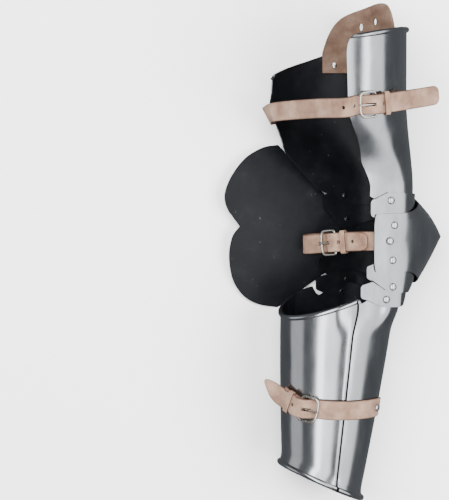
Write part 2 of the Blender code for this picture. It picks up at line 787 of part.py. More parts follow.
def add_pivot_rivets():
    seats = [
        ("upper_cannon", "upper_lame", 1), ("upper_lame", "couter", 0), ("lower_lame_a", "couter", 0),
        ("lower_lame_b", "lower_lame_a", 1), ("lower_cannon", "lower_lame_b", 2),
    ]
    for pivot, body, level in seats:
        for side, word in ((1, "inner"), (-1, "outer")):
            add_rivet(f"rivet_{pivot}_{word}", body, pivot_base(pivot, side, level), Vector((0, 0, side)),
                      SHEET * 2 + GAP)


class BaseLine:
    """The line that a strap lies along: points at even steps, with the slope of what it lies on.

    marks are (point, up): the direction up the arm on the surface below that point.
    """

    def __init__(self, marks, outward):
        self.step = 1.5
        self.points = smooth_path([point for point, _ in marks], self.step)
        self.outward = outward
        self.lengths = [0.0]
        for p, q in zip(self.points, self.points[1:]):
            self.lengths.append(self.lengths[-1] + (q - p).length)
        self.slopes = [(self.nearest(point), up) for point, up in marks]

    def up(self, s):
        for (s0, up0), (s1, up1) in zip(self.slopes, self.slopes[1:]):
            if s <= s1:
                return up0.lerp(up1, min(max((s - s0) / (s1 - s0), 0.0), 1.0))
        return self.slopes[-1][1]

    def frame(self, s):
        """Place, direction, width direction and normal at the length s."""
        last = len(self.points) - 1
        i = min(range(last + 1), key=lambda k: abs(self.lengths[k] - s))
        along = (self.points[min(i + 2, last)] - self.points[max(i - 2, 0)]).normalized()
        normal = (along.cross(self.up(s)) * self.outward).normalized()
        width = normal.cross(along)
        place = self.points[i] + along * (s - self.lengths[i])
        return place, along, width, normal

    def at(self, s, lift):
        place, _, _, normal = self.frame(s)
        return place + normal * lift

    def nearest(self, point):
        return min(range(len(self.points)), key=lambda k: (self.points[k] - point).length) * self.step


def box_mesh(place, axes, low, high):
    """A box between two corners given along three axes."""
    mesh = bmesh.new()
    corners = []
    for i in (low[0], high[0]):
        for j in (low[1], high[1]):
            for k in (low[2], high[2]):
                corners.append(mesh.verts.new(place + axes[0] * i + axes[1] * j + axes[2] * k))
    for quad in ((0, 1, 3, 2), (4, 6, 7, 5), (0, 4, 5, 1), (2, 3, 7, 6), (0, 2, 6, 4), (1, 5, 7, 3)):
        mesh.faces.new([corners[q] for q in quad])
    return mesh


# Heights above what the strap lies on: the layers of leather, the bar and the prong
LAYER = SEAT + LEATHER / 2
BAR_LIFT = SEAT + LEATHER + SEAT + WIRE
FOLD_RADIUS = WIRE + SEAT + LEATHER / 2
OVER_BAR = BAR_LIFT + FOLD_RADIUS + LEATHER + SEAT * 2
PRONG_LIFT = BAR_LIFT + WIRE + SEAT + PRONG
KEEPER_LEATHER = 1.2
IN_KEEPER = SEAT + LEATHER + SEAT * 2 + KEEPER_LEATHER + SEAT + LEATHER / 2
TAIL_LIFT = IN_KEEPER + 1.2
KEEPER_AT = 12.0
RIVET_AT = KEEPER_AT + 8.0
FOLD_BACK = 5.0
STRAP_TOP = LAYER + LEATHER / 2 + 0.2
CURVE_ROOM = 0.9


def add_strap(name, body, line, bar, root, end, buckle_root, tip, root_holes=(), buckle_holes=()):
    """One strap: tongue, short buckle strap folded round the bar, keeper, wire frame and prong.

    bar, root, end and buckle_root are lengths along the line; tip gives the tongue end's width shares.
    """
    place, along, width, normal = line.frame(bar)
    slot = (PRONG + 0.7)

    lifts = [(root, LAYER), (bar - 15.0, LAYER), (bar - 12.0, LAYER + 1.0), (bar - 3.5, OVER_BAR - 0.3),
             (bar, OVER_BAR), (bar + 3.5, OVER_BAR - 0.7), (bar + 8.5, IN_KEEPER + 0.1),
             (bar + KEEPER_AT, IN_KEEPER), (bar + KEEPER_AT + 3.5, IN_KEEPER + 0.1),
             (bar + KEEPER_AT + 8.0, TAIL_LIFT), (end, TAIL_LIFT)]
    count = round((end - root) / 4.5)
    steps = sorted(set([round(lerp(root, end, k / count), 2) for k in range(count + 1)]
                       + [bar - 15.0, bar - 12.0, bar - 3.5, bar, bar + 3.5, bar + 8.5, bar + KEEPER_AT + 3.5]))
    spaced = [steps[0]]
    for s in steps[1:]:
        if s - spaced[-1] > 1.8:
            spaced.append(s)
    slot_box = cutter(f"cut_{name}_slot", body,
                      box_mesh(place, (along, width, normal), (-24.0, -slot, PRONG_LIFT - PRONG - 0.5),
                               (-0.5, slot, PRONG_LIFT + PRONG + 0.6)))
    add_piece(f"{name}_tongue", body,
              ribbon([line.at(s, table(lifts, s)) for s in spaced], [line.frame(s)[2] for s in spaced],
                     STRAP_WIDTH, LEATHER, tip),
              HIDE, [slot_box, *root_holes])

    below = list(reversed(spread(bar + 2.5, buckle_root, 4.0)))
    fold = [line.at(s, LAYER) for s in below]
    for k in range(7):
        angle = math.radians(-90 - 30 * k)
        fold.append(place + along * (FOLD_RADIUS * math.cos(angle))
                    + normal * (BAR_LIFT + FOLD_RADIUS * math.sin(angle)))
    fold.append(place + along * 3.0 + normal * (BAR_LIFT + FOLD_RADIUS - 0.7))
    fold.append(line.at(bar + FOLD_BACK, LAYER + LEATHER + SEAT))
    fold_box = cutter(f"cut_{name}_fold", body,
                      box_mesh(place, (along, width, normal), (-6.0, -slot, -1.0), (4.3, slot, 9.5)))
    widths = [line.frame(s)[2] for s in below] + [width] * (len(fold) - len(below))
    add_piece(f"{name}_buckle_strap", body, ribbon(fold, widths, STRAP_WIDTH, LEATHER), HIDE,
              [fold_box, *buckle_holes])

    half = BUCKLE_WIDTH / 2
    loop = [(0.0, -half + 1.5), (0.0, 0.0), (0.0, half - 1.5), (-1.5, half), (-BUCKLE_LENGTH * 0.66, half)]
    for k in range(1, 8):
        angle = math.pi * k / 8
        loop.append((-BUCKLE_LENGTH * (0.7 + 0.3 * math.sin(angle)),
                     half * math.copysign(abs(math.cos(angle)) ** 0.55, math.cos(angle))))
    loop += [(-BUCKLE_LENGTH * 0.66, -half), (-1.5, -half)]
    path = [place + along * a + width * b + normal * BAR_LIFT for a, b in loop]
    add_piece(f"{name}_buckle", body, tube_along(path, WIRE, 6, closed=True, side_axis=normal), NICKEL)

    eye = WIRE + SEAT + PRONG
    path = []
    for k in range(6):
        angle = math.radians(-60 + 30 * k)
        path.append(place + along * (eye * math.cos(angle)) + normal * (BAR_LIFT + eye * math.sin(angle)))
    path.append(place + along * (-BUCKLE_LENGTH - 1.3) + normal * PRONG_LIFT)
    add_piece(f"{name}_prong", body, tube_along(path, PRONG, 6, side_axis=width), NICKEL)

    place, along, width, normal = line.frame(bar + KEEPER_AT)
    inner = (STRAP_WIDTH / 2 + 0.8, IN_KEEPER - LEATHER / 2 - SEAT * 1.5, IN_KEEPER + LEATHER / 2 + SEAT * 2.5)
    outer = (inner[0] + KEEPER_LEATHER, inner[1] - KEEPER_LEATHER, inner[2] + KEEPER_LEATHER)
    keeper = bmesh.new()
    rings = []
    for a in (-KEEPER_WIDTH / 2, KEEPER_WIDTH / 2):
        for side, low, high in (outer, inner):
            ring = []
            for b, h in ((-side, low), (side, low), (side, high), (-side, high)):
                ring.append(keeper.verts.new(place + along * a + width * b + normal * h))
            rings.append(ring)
    for one, two in ((0, 2), (2, 3), (3, 1), (1, 0)):
        for k in range(4):
            j = (k + 1) % 4
            keeper.faces.new((rings[one][k], rings[one][j], rings[two][j], rings[two][k]))
    add_piece(f"{name}_keeper", body, keeper, HIDE)


def spread(low, high, step):
    count = max(1, round((high - low) / step))
    return [lerp(low, high, k / count) for k in range(count + 1)]


def surface_normal(point, angle, height):
    """Outward normal of a plate given by point(angle, height)."""
    across = point(angle - 1.0, height) - point(angle + 1.0, height)
    along = point(angle, height + 1.0) - point(angle, height - 1.0)
    return across.cross(along).normalized()


def riveted(name, body, base, normal, grip, lift=0.0):
    """A rivet set on a surface, and the cutter of its hole; its tail clears the plate's curve by CURVE_ROOM."""
    grip += CURVE_ROOM
    hole = hole_cutter(f"cut_{name}", body, base, normal, depth=lift + grip + 3.0)
    add_rivet(name, body, base + normal * lift, normal, grip + lift)
    return hole


# The upper strap's line: heights up the arm at its root, the crossing and its end
UPPER_STRAP_ROOT_ANGLE = -106.0
UPPER_STRAP_HEIGHTS = (130.0, 134.5, 144.0, 151.0)
UPPER_BAR_ANGLE = 88.0
# The lower strap's line
LOWER_STRAP_ROOT_ANGLE = 46.0
LOWER_BAR_ANGLE = 147.0
LOWER_STRAP_HEIGHTS = (-173.0, -172.0, -168.0, -160.0, -140.0)
# The elbow strap's line, from the outer leg across the crook to the inner leg: back, up, side
ELBOW_STRAP_LINE = [
    (-14.0, -6.0, -45.6), (-25.0, -6.0, -45.6), (-36.0, -6.0, -45.6), (-44.0, -6.0, -45.2), (-52.0, -6.0, -41.0), (-55.0, -6.0, -32.0),
    (-50.0, -4.0, -14.0), (-41.0, -1.0, 8.0), (-31.5, 1.0, 28.0), (-25.0, 1.8, 39.5), (-16.0, 1.8, 45.0),
    (-4.0, 1.8, 45.6), (6.0, 1.8, 45.6),
]


UP = Vector((0.0, 1.0, 0.0))


def surface_mark(point, angle, height, out=0.0):
    """A strap line's point on a plate, or out above it, with the plate's slope there."""
    slope = (point(angle, height + 1.0) - point(angle, height - 1.0)).normalized()
    return point(angle, height) + surface_normal(point, angle, height) * out, slope


def plan_upper_strap():
    """The upper strap's line: along the outer wall, across the arm, onto the inner side, then free."""
    start, cross, bar_height, end_height = UPPER_STRAP_HEIGHTS
    marks = []
    for angle, out in ((-92.0, 0.2), (UPPER_STRAP_ROOT_ANGLE, 0.2), (-120.0, 0.3), (-131.0, 0.5), (-139.0, 1.1)):
        marks.append(surface_mark(upper_point, angle, start, out))
    marks.append((Vector((-97.0, cross - 1.0, -28.0)), UP))
    marks.append((Vector((-91.5, cross + 2.0, 2.0)), UP))
    marks.append((Vector((-80.5, cross + 4.5, 37.0)), UP))
    marks.append((upper_point(112.0, bar_height - 3.5) + Vector((-1.0, 0.0, 1.4)), UP))
    for angle in (104.0, 96.0, UPPER_BAR_ANGLE, 82.0):
        marks.append(surface_mark(upper_point, angle, bar_height + (UPPER_BAR_ANGLE - angle) * 0.08))
    last, slope = marks[-1]
    ahead = last - marks[-2][0]
    ahead = Vector((ahead.x, 0.0, ahead.z)).normalized()
    for reach, drop in ((22.0, 1.5), (45.0, 4.5), (68.0, 8.5)):
        rise = (end_height - bar_height) * reach / 68.0
        marks.append((last + ahead * reach + Vector((0.0, rise, -drop)), slope))
    return BaseLine(marks, 1.0)


def plan_lower_strap():
    """The lower strap's line round the inner side of the lower cannon, ending in a free point."""
    start, mid, bar_height, keeper_height, tip_height = LOWER_STRAP_HEIGHTS
    marks = []
    for angle, height in ((36.0, start), (LOWER_STRAP_ROOT_ANGLE, start), (70.0, mid - 0.5), (95.0, mid),
                          (120.0, mid + 1.5), (LOWER_BAR_ANGLE, bar_height), (160.0, keeper_height - 3.0),
                          (173.0, keeper_height + 1.0)):
        marks.append(surface_mark(lower_point, angle, height, 0.35))
    last, slope = marks[-1]
    marks.append((last + Vector((-5.0, 5.5, -8.0)), slope))
    marks.append((last + Vector((-14.0, tip_height - keeper_height - 3.0, -16.0)), slope))
    return BaseLine(marks, -1.0)


def add_straps():
    """The three straps with their rivets; returns the holes that their rivets need in the plates."""
    holes = {"upper_cannon": [], "couter": [], "lower_cannon_back": [], "lower_cannon_front": []}

    line = plan_upper_strap()
    root = line.nearest(upper_point(UPPER_STRAP_ROOT_ANGLE, UPPER_STRAP_HEIGHTS[0]))
    bar = line.nearest(upper_point(UPPER_BAR_ANGLE, UPPER_STRAP_HEIGHTS[2]))
    place, _, _, normal = line.frame(root)
    root_hole = riveted("rivet_upper_strap", "upper_cannon", place, normal, SHEET, STRAP_TOP)
    place, _, _, normal = line.frame(bar + RIVET_AT)
    buckle_hole = riveted("rivet_upper_buckle", "upper_cannon", place, normal, SHEET * 2, STRAP_TOP)
    holes["upper_cannon"] += [root_hole, buckle_hole]
    add_strap("upper_strap", "upper_cannon", line, bar, root - 9.0, bar + 84.0, bar + RIVET_AT + 7.0,
              (0.95, 0.62), [root_hole], [buckle_hole])

    line = BaseLine([(Vector(p), UP) for p in ELBOW_STRAP_LINE], 1.0)
    root = line.nearest(Vector(ELBOW_STRAP_LINE[1]))
    bar = line.nearest(Vector(ELBOW_STRAP_LINE[7]))
    buckle_root = line.nearest(Vector(ELBOW_STRAP_LINE[-2]))
    strap_holes = []
    for word, at, side in (("elbow_strap", root, -1.0), ("elbow_buckle", buckle_root, 1.0)):
        place = line.at(at, 0.0)
        cup = half_width(0) + (wing_side(place.x, place.y) if side < 0 else 0.0)
        base = Vector((place.x, place.y, side * cup))
        strap_holes.append(riveted(f"rivet_{word}", "couter", base, Vector((0, 0, side)),
                                   cup - abs(place.z), CURVE_ROOM))
    holes["couter"] += strap_holes
    add_strap("elbow_strap", "couter", line, bar, root - 9.0, bar + 38.0, buckle_root + 9.0, (0.9, 0.6),
              [strap_holes[0]], [strap_holes[1]])

    line = plan_lower_strap()
    root = line.nearest(lower_point(LOWER_STRAP_ROOT_ANGLE, LOWER_STRAP_HEIGHTS[0]))
    bar = line.nearest(lower_point(LOWER_BAR_ANGLE, LOWER_STRAP_HEIGHTS[2]))
    place, _, _, normal = line.frame(root)
    root_hole = riveted("rivet_lower_strap", "lower_cannon", place, normal, SHEET, STRAP_TOP)
    place, _, _, normal = line.frame(bar + RIVET_AT)
    buckle_hole = riveted("rivet_lower_buckle", "lower_cannon", place, normal, SHEET + NEST, STRAP_TOP)
    holes["lower_cannon_back"].append(root_hole)
    holes["lower_cannon_front"].append(buckle_hole)
    add_strap("lower_strap", "lower_cannon", line, bar, root - 9.0, line.lengths[-1], bar + RIVET_AT + 7.0,
              (0.96, 0.8, 0.5, 0.12), [root_hole], [buckle_hole])
    return holes


def add_lap_rivets(holes):
    """Rivets that join the front and back plates of the lower cannon along their hidden lap."""
    angle = HINGE_ANGLE + HINGE_LAP / 2
    for k, share in enumerate((0.25, 0.5, 0.8), 1):
        height = lerp(LOWER_END + ROLL_WIDTH, LOWER_RIM - ROLL_WIDTH, share)
        normal = surface_normal(lower_point, angle, height)
        hole = riveted(f"rivet_lap_{k}", "lower_cannon", lower_point(angle, height), normal, SHEET * 2 + GAP)
        holes["lower_cannon_back"].append(hole)
        holes["lower_cannon_front"].append(hole)


def add_tab_rivets(holes):
    """Rivets through the arming tab; returns the tab's holes: the rivets' and the two for its lace."""
    made = []
    for k, angle in enumerate(TAB_RIVET_ANGLES, 1):
        height = UPPER_TOP * table(RIM_BY_ANGLE, angle) - ROLL_WIDTH - 9.0
        normal = surface_normal(upper_point, angle, height)
        made.append(riveted(f"rivet_tab_{k}", "upper_cannon", upper_point(angle, height), normal,
                            SHEET + GAP + TAB_ROOM + TAB_LEATHER))
    holes["upper_cannon"] += made
    laces = []
    for k, angle in enumerate(LACE_ANGLES, 1):
        out = Vector((math.cos(math.radians(angle)), 0.0, math.sin(math.radians(angle))))
        base = Vector((UPPER_CENTRE, UPPER_TOP * table(RIM_BY_ANGLE, angle) + LACE_RISE, 0.0))
        base += out * (UPPER_RADIUS - SHEET - GAP - TAB_ROOM - TAB_LEATHER / 2)
        reach = TAB_LEATHER * 2
        hole = tube_along([base + out * reach, base - out * reach], LACE_HOLE, RIVET_SIDES, side_axis=UP)
        for vert in hole.verts:
            vert.co.y = base.y + (vert.co.y - base.y) * LACE_TALL / LACE_HOLE
        laces.append(cutter(f"cut_lace_{k}", "upper_cannon", hole))
    return made + laces


def lay_down():
    """Turn and tip the assembly as it lies, and set its origin under the middle of its box."""
    lying = BODIES["lying_pose"][0]
    lying.rotation_mode = "QUATERNION"
    turn = Matrix.Rotation(LIE_TIP, 4, "X") @ Matrix.Rotation(LIE_TURN, 4, "Y")
    lying.rotation_quaternion = turn.to_quaternion()
    bpy.context.view_layer.update()
    low = Vector((1e9, 1e9, 1e9))
    high = -low
    for obj in bpy.data.objects:
        if obj.type != "MESH" or obj.hide_render:
            continue
        for vert in obj.data.vertices:
            place = obj.matrix_world @ vert.co
            low = Vector(map(min, low, place))
            high = Vector(map(max, high, place))
    lying.location = Vector((-(low.x + high.x) / 2, -(low.y + high.y) / 2, -low.z))
    bpy.context.view_layer.update()


clear_scene()
BODIES = make_bodies()
add_plates(add_straps())
add_pivot_rivets()
lay_down()
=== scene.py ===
"""Arm harness: polished steel plates blacked inside, leather straps and tab, wire buckles and domed rivets.

The arm's own frame, in millimetres: x points back to the tip of the elbow, y up the arm and z to the
inner side of the arm. LAY turns it into the lying pose, in metres.
"""
import math

import bmesh
import bpy
from mathutils import Matrix, Vector


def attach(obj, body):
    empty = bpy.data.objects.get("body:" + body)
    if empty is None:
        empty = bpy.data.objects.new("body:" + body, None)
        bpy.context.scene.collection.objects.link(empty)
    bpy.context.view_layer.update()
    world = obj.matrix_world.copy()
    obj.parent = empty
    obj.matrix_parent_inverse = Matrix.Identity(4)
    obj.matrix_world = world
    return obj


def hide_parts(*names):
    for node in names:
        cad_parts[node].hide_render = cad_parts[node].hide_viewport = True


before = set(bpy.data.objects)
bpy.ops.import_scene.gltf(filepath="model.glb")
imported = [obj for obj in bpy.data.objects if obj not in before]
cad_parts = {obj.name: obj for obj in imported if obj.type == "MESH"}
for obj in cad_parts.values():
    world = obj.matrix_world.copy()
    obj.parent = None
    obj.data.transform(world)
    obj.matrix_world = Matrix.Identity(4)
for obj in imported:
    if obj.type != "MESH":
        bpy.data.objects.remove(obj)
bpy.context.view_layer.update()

MM = 0.001

# Sheet, leather and the clearances between pieces
SHEET = 1.2
GAP = 0.4
LEATHER = 2.2
TAB_LEATHER = 3.0
SEAT = 0.3

# Pivots of the elbow, each a pair of rivets on one axis along z: (x, y)
PIVOTS = {
    "upper_cannon": (-1.5, 43.5),
    "upper_lame": (1.8, 17.9),
    "lower_lame_a": (0.0, -18.3),
    "lower_lame_b": (1.2, -46.1),
    "lower_cannon": (-5.5, -59.1),
}

# Elbow: the outermost plate's half width, the step from a plate to the next inside it, how far back the
# flat legs reach, degrees between columns, the upper cannon's reach below its pivot, and rounded corners
ELBOW_HALF = 51.2
NEST = SHEET + GAP
FLAT = 10.0
ARC_STEP = 3
EAR = 9.0
CORNER = 6.0

# Elbow cup: its ridge and its wing
CUP_TIP = 88.5
CUP_TIP_HEIGHT = 0.0
CUP_TOP = 42.0
CUP_BOTTOM = -48.0
CUP_TOP_REACH = 51.0
CUP_BOTTOM_REACH = 51.0
CUP_FRONT = -22.0
CUP_SIDE_TOP = 30.0
CUP_SIDE_BOTTOM = -30.0
CUP_BULGE_TOP = 4.5
CUP_BULGE_BOTTOM = 2.0
KEEL_SQUARE = 1.5
KEEL_SHARP = 0.7
WING_REACH = 128.0
WING_HEIGHT = 97.0
WING_START = 31.0
WING_SLOPE = 0.30
WING_ROOT = -10.0
WING_EASE = 6.0
WING_CROWD = 0.9

# Upper cannon
UPPER_RADIUS = 74.5
UPPER_CENTRE = -41.0
UPPER_ELBOW_REACH = 44.0
UPPER_TOP = 222.0
UPPER_BOTTOM = 30.5
UPPER_ROUND = 142.0
UPPER_OPENS = 60.0
UPPER_FRONT_RISE = 0.55
ROLL = 2.6
ROLL_WIDTH = 5.5
ROLL_LIP = 0.35
EDGE_START = 0.04
LEG_EASE = 6.0

# Lames
UPPER_LAME_REACH = 46.6
UPPER_LAME_TOP = 47.5
UPPER_LAME_BOTTOM = 22.0
UPPER_LAME_FRONT = -25.5
LAME_A_RADIUS = 51.0
LAME_A_TOP = -28.0
LAME_A_BOTTOM = -54.0
LAME_A_FRONT = -30.0
LAME_B_RADIUS = 33.0
LAME_B_TOP = -43.0
LAME_B_BOTTOM = -64.5
LAME_B_FRONT = -36.0

# Lower cannon
LOWER_TOP_HALF = 63.0
LOWER_TOP_SIDE = 50.0
LOWER_WRIST_HALF = 46.0
LOWER_WRIST_SIDE = 41.0
LOWER_TOP_CENTRE = -37.0
LOWER_WRIST_CENTRE = -53.0
TAPER_TOP = -68.0
LOWER_RIM = -74.5
RIM_RISE = 23.0
RIM_LOW_ANGLE = 172.0
LOWER_END = -253.0
END_SLANT = 19.0
END_TURN = 6.0
LOWER_NECK = -236.0
FLARE = 3.2
FLARE_LENGTH = 14.0
FLARE_POWER = 1.6
TAPER_POWER = 1.25
LOWER_DRAWN_FROM = -98.0
LOWER_DRAWN_TO = -69.0
SEAM_ANGLE = 95.0
LAP_DROP = 1.7
LAP_TUCK = 0.5
LEVEL_SLANT = 6.0
RIM_ROOM = 4.0
SEAM_LAP = 10.0
HINGE_ANGLE = 232.0
HINGE_LAP = 9.0

# Arming tab
TAB_FROM = -71.0
TAB_TO = 0.0
TAB_RISE = 33.5
TAB_FOOT = 173.0
TAB_CORNER_DROP = 0.9
TAB_CORNER_POWER = 5
TAB_COLUMNS = 60
TAB_ROOM = 0.7
TAB_RIVET_ANGLES = (-61.0, -33.0, -8.0)
LACE_ANGLES = (-37.0, -23.0)
LACE_RISE = 15.0
LACE_HOLE = 2.4
LACE_TALL = 4.0
TAB_STEPS = 24
TAB_RIVET_DROP = 9.0

# Straps and buckles
STRAP_WIDTH = 20.0
WIRE = 1.4
BUCKLE_LENGTH = 18.0
BUCKLE_WIDTH = 25.0
KEEPER_WIDTH = 6.0
PRONG = 1.0

# Rivets
RIVET_HEAD = 4.0
RIVET_DOME = 2.3
RIVET_SHANK = 1.6
RIVET_HOLE = 1.95
RIVET_TAIL = 2.9
RIVET_LIP = 0.2
RIVET_SIDES = 24
DOME_STEPS = 7
HOLE_SIDES = 16
HOLE_SPARE = 3.0
PIVOT_HOLE_DEPTH = 4.0
LAP_RIVET_SHARES = (0.25, 0.5, 0.8)

# The angle between faces, in degrees, from which an edge shades sharp
SHARP = 38.0

# How the piece lies: turned about the arm's length, then tipped end to end
LIE_TURN = math.radians(15.1)
LIE_TIP = math.radians(3.5)
LIE_PLACE = Vector((0.0303149, 0.0136739, 0.0549857))
UP = Vector((0.0, 1.0, 0.0))


def new_material(name):
    made = bpy.data.materials.new(name)
    made.use_nodes = True
    return made, made.node_tree, made.node_tree.nodes["Principled BSDF"]


def place_noise(tree, scale, detail=4.0, rough=0.55, stretch=(1.0, 1.0, 1.0)):
    """Noise over the piece's own coordinates, stretched by stretch."""
    coords = tree.nodes.new("ShaderNodeTexCoord")
    mapping = tree.nodes.new("ShaderNodeMapping")
    mapping.inputs["Scale"].default_value = stretch
    noise = tree.nodes.new("ShaderNodeTexNoise")
    noise.inputs["Scale"].default_value = scale
    noise.inputs["Detail"].default_value = detail
    noise.inputs["Roughness"].default_value = rough
    tree.links.new(coords.outputs["Object"], mapping.inputs["Vector"])
    tree.links.new(mapping.outputs["Vector"], noise.inputs["Vector"])
    return noise.outputs["Fac"]


def ramp(tree, source, stops):
    """A colour ramp from (position, colour) stops; a single number stands for a grey."""
    node = tree.nodes.new("ShaderNodeValToRGB")
    elements = node.color_ramp.elements
    while len(elements) < len(stops):
        elements.new(0.5)
    for element, (position, colour) in zip(elements, stops):
        element.position = position
        if not isinstance(colour, tuple):
            colour = (colour, colour, colour)
        element.color = (*colour, 1.0)
    tree.links.new(source, node.inputs["Fac"])
    return node.outputs["Color"]


def drive(tree, shader, socket, source, stops):
    """Let a ramp over a noise set one of the shader's inputs."""
    tree.links.new(ramp(tree, source, stops), shader.inputs[socket])


def mixed(tree, factor, one, two):
    node = tree.nodes.new("ShaderNodeMix")
    node.data_type = "RGBA"
    for socket, value in ((node.inputs["Factor"], factor), (node.inputs["A"], one), (node.inputs["B"], two)):
        tree.links.new(value, socket)
    return node.outputs["Result"]


def bumps(tree, shader, layers):
    """Bump layers of (height, strength, distance in metres)."""
    last = None
    for height, strength, distance in layers:
        node = tree.nodes.new("ShaderNodeBump")
        node.inputs["Strength"].default_value = strength
        node.inputs["Distance"].default_value = distance
        tree.links.new(height, node.inputs["Height"])
        if last:
            tree.links.new(last, node.inputs["Normal"])
        last = node.outputs["Normal"]
    tree.links.new(last, shader.inputs["Normal"])


def steel_material(low, high):
    """Polished sheet: faint lengthways polishing lines over soft hammered waves."""
    made, tree, shader = new_material("polished_steel")
    lines = place_noise(tree, 900.0, 6.0, 0.7, (1.0, 0.04, 1.0))
    waves = place_noise(tree, 16.0, 2.0, stretch=(1.0, 0.5, 1.0))
    smears = place_noise(tree, 38.0, 5.0, 0.6, (1.0, 0.35, 1.0))
    shader.inputs["Metallic"].default_value = 1.0
    drive(tree, shader, "Base Color", smears, [(0.3, low), (0.7, high)])
    drive(tree, shader, "Roughness", smears, [(0.3, 0.15), (0.72, 0.25)])
    bumps(tree, shader, [(waves, 0.3, 0.004), (lines, 0.05, 0.00015)])
    return made


def blacked_and_edge_shade_material():
    """The plates' blacked inside: blue-black, satin, mottled, with worn flecks. On the plates' cut edges the
    same dark finish is painted shade, darkening the edges as the shade along them would.
    """
    made, tree, shader = new_material("blacked_steel_and_edge_shade")
    mottle = place_noise(tree, 45.0, 6.0, 0.65)
    flecks = place_noise(tree, 420.0, 3.0, stretch=(1.0, 0.3, 1.0))
    waves = place_noise(tree, 22.0, 2.0, stretch=(1.0, 0.6, 1.0))
    base = ramp(tree, mottle, [(0.3, (0.0030, 0.0033, 0.0042)), (0.6, (0.0058, 0.0064, 0.0080)),
                               (0.85, (0.013, 0.014, 0.016))])
    worn = ramp(tree, flecks, [(0.715, 0.0), (0.76, 0.8)])
    pale = ramp(tree, mottle, [(0.0, (0.07, 0.07, 0.08)), (1.0, (0.16, 0.16, 0.17))])
    tree.links.new(mixed(tree, worn, base, pale), shader.inputs["Base Color"])
    shader.inputs["Metallic"].default_value = 0.35
    shader.inputs["Specular IOR Level"].default_value = 0.25
    drive(tree, shader, "Roughness", mottle, [(0.25, 0.38), (0.75, 0.56)])
    bumps(tree, shader, [(waves, 0.25, 0.003), (mottle, 0.12, 0.0006)])
    return made


def edge_shade(tree):
    """The strap's own attribute: 0 at its middle, 1 at its cut edges."""
    node = tree.nodes.new("ShaderNodeAttribute")
    node.attribute_name = "edge"
    return node.outputs["Fac"]


def leather_material(name, tones, edge_tone, rough, grain_depth):
    """Leather with pores, fibre clouds, small stains and darker cut edges; tones run from dark to pale."""
    made, tree, shader = new_material(name)
    clouds = place_noise(tree, 60.0, 6.0, 0.6)
    pores = place_noise(tree, 1500.0, 3.0)
    stains = place_noise(tree, 190.0, 4.0, 0.7)
    base = ramp(tree, clouds, [(0.28, tones[0]), (0.5, tones[1]), (0.74, tones[2])])
    spotted = mixed(tree, ramp(tree, stains, [(0.60, 0.0), (0.72, 0.55)]), base,
                    ramp(tree, stains, [(0.0, tones[0]), (1.0, tones[0])]))
    dark = ramp(tree, clouds, [(0.0, edge_tone), (1.0, tuple(c * 1.6 for c in edge_tone))])
    rim = ramp(tree, edge_shade(tree), [(0.55, 0.0), (0.93, 0.85)])
    tree.links.new(mixed(tree, rim, spotted, dark), shader.inputs["Base Color"])
    drive(tree, shader, "Roughness", clouds, [(0.3, rough - 0.1), (0.7, rough)])
    shader.inputs["Specular IOR Level"].default_value = 0.35
    bumps(tree, shader, [(clouds, 0.15, 0.0008), (pores, 0.35, grain_depth)])
    return made


def plain_metal(name, colour, rough_low, rough_high):
    made, tree, shader = new_material(name)
    marks = place_noise(tree, 700.0)
    shader.inputs["Metallic"].default_value = 1.0
    drive(tree, shader, "Base Color", marks, [(0.3, tuple(c * 0.85 for c in colour)), (0.7, colour)])
    drive(tree, shader, "Roughness", marks, [(0.3, rough_low), (0.7, rough_high)])
    bumps(tree, shader, [(marks, 0.08, 0.0001)])
    return made


STRAP_TONES = ((0.105, 0.058, 0.038), (0.185, 0.112, 0.078), (0.27, 0.182, 0.135))
STRAP_EDGE = (0.022, 0.009, 0.006)
TAB_TONES = ((0.050, 0.028, 0.018), (0.088, 0.053, 0.037), (0.135, 0.090, 0.068))
TAB_EDGE = (0.018, 0.009, 0.006)

# What each kind of piece is made of: its slot, and its materials
# Steel's second material is the real blacked inside, and it also serves as painted shade on the plates' cut
# edges
STEEL = ("polished_steel", [steel_material((0.36, 0.37, 0.39), (0.47, 0.48, 0.50)), blacked_and_edge_shade_material()])
HIDE = ("strap_leather", [leather_material("strap_leather", STRAP_TONES, STRAP_EDGE, 0.72, 0.00025)])
TAB_HIDE = ("tab_leather", [leather_material("tab_leather", TAB_TONES, TAB_EDGE, 0.9, 0.0005)])
NICKEL = ("buckle_nickel", [plain_metal("buckle_nickel", (0.66, 0.63, 0.58), 0.2, 0.34)])
RIVET_STEEL = ("rivet_steel", [plain_metal("rivet_steel", (0.70, 0.70, 0.70), 0.18, 0.32)])


def lerp(a, b, t):
    return a + (b - a) * t


def table(rows, x):
    """Smooth value at x from rows of (x, value), in rising x, with no overshoot between rows."""
    if x <= rows[0][0]:
        return rows[0][1]
    if x >= rows[-1][0]:
        return rows[-1][1]
    k = next(i for i in range(len(rows) - 1) if x <= rows[i + 1][0])
    (x0, y0), (x1, y1) = rows[k], rows[k + 1]
    chord = (y1 - y0) / (x1 - x0)

    def slope(before, after):
        return 0.0 if before * after <= 0 else 2 * before * after / (before + after)

    first, last = chord, chord
    if k > 0:
        first = slope((y0 - rows[k - 1][1]) / (x0 - rows[k - 1][0]), chord)
    if k + 2 < len(rows):
        last = slope(chord, (rows[k + 2][1] - y1) / (rows[k + 2][0] - x1))
    t = (x - x0) / (x1 - x0)
    span = x1 - x0
    return ((1 + 2 * t) * (1 - t) ** 2 * y0 + t * (1 - t) ** 2 * span * first
            + t * t * (3 - 2 * t) * y1 + t * t * (t - 1) * span * last)


LAY = (Matrix.Translation(LIE_PLACE) @ Matrix.Rotation(LIE_TIP, 4, "X") @ Matrix.Rotation(LIE_TURN, 4, "Y")
       @ Matrix.Scale(MM, 4))
CUTTERS = []


def finished_mesh(obj):
    """The object's mesh with its cuts made, smooth but for its true edges."""
    bpy.context.view_layer.update()
    made = bpy.data.meshes.new_from_object(obj.evaluated_get(bpy.context.evaluated_depsgraph_get()))
    made.shade_smooth()
    made.set_sharp_from_angle(angle=math.radians(SHARP))
    return made


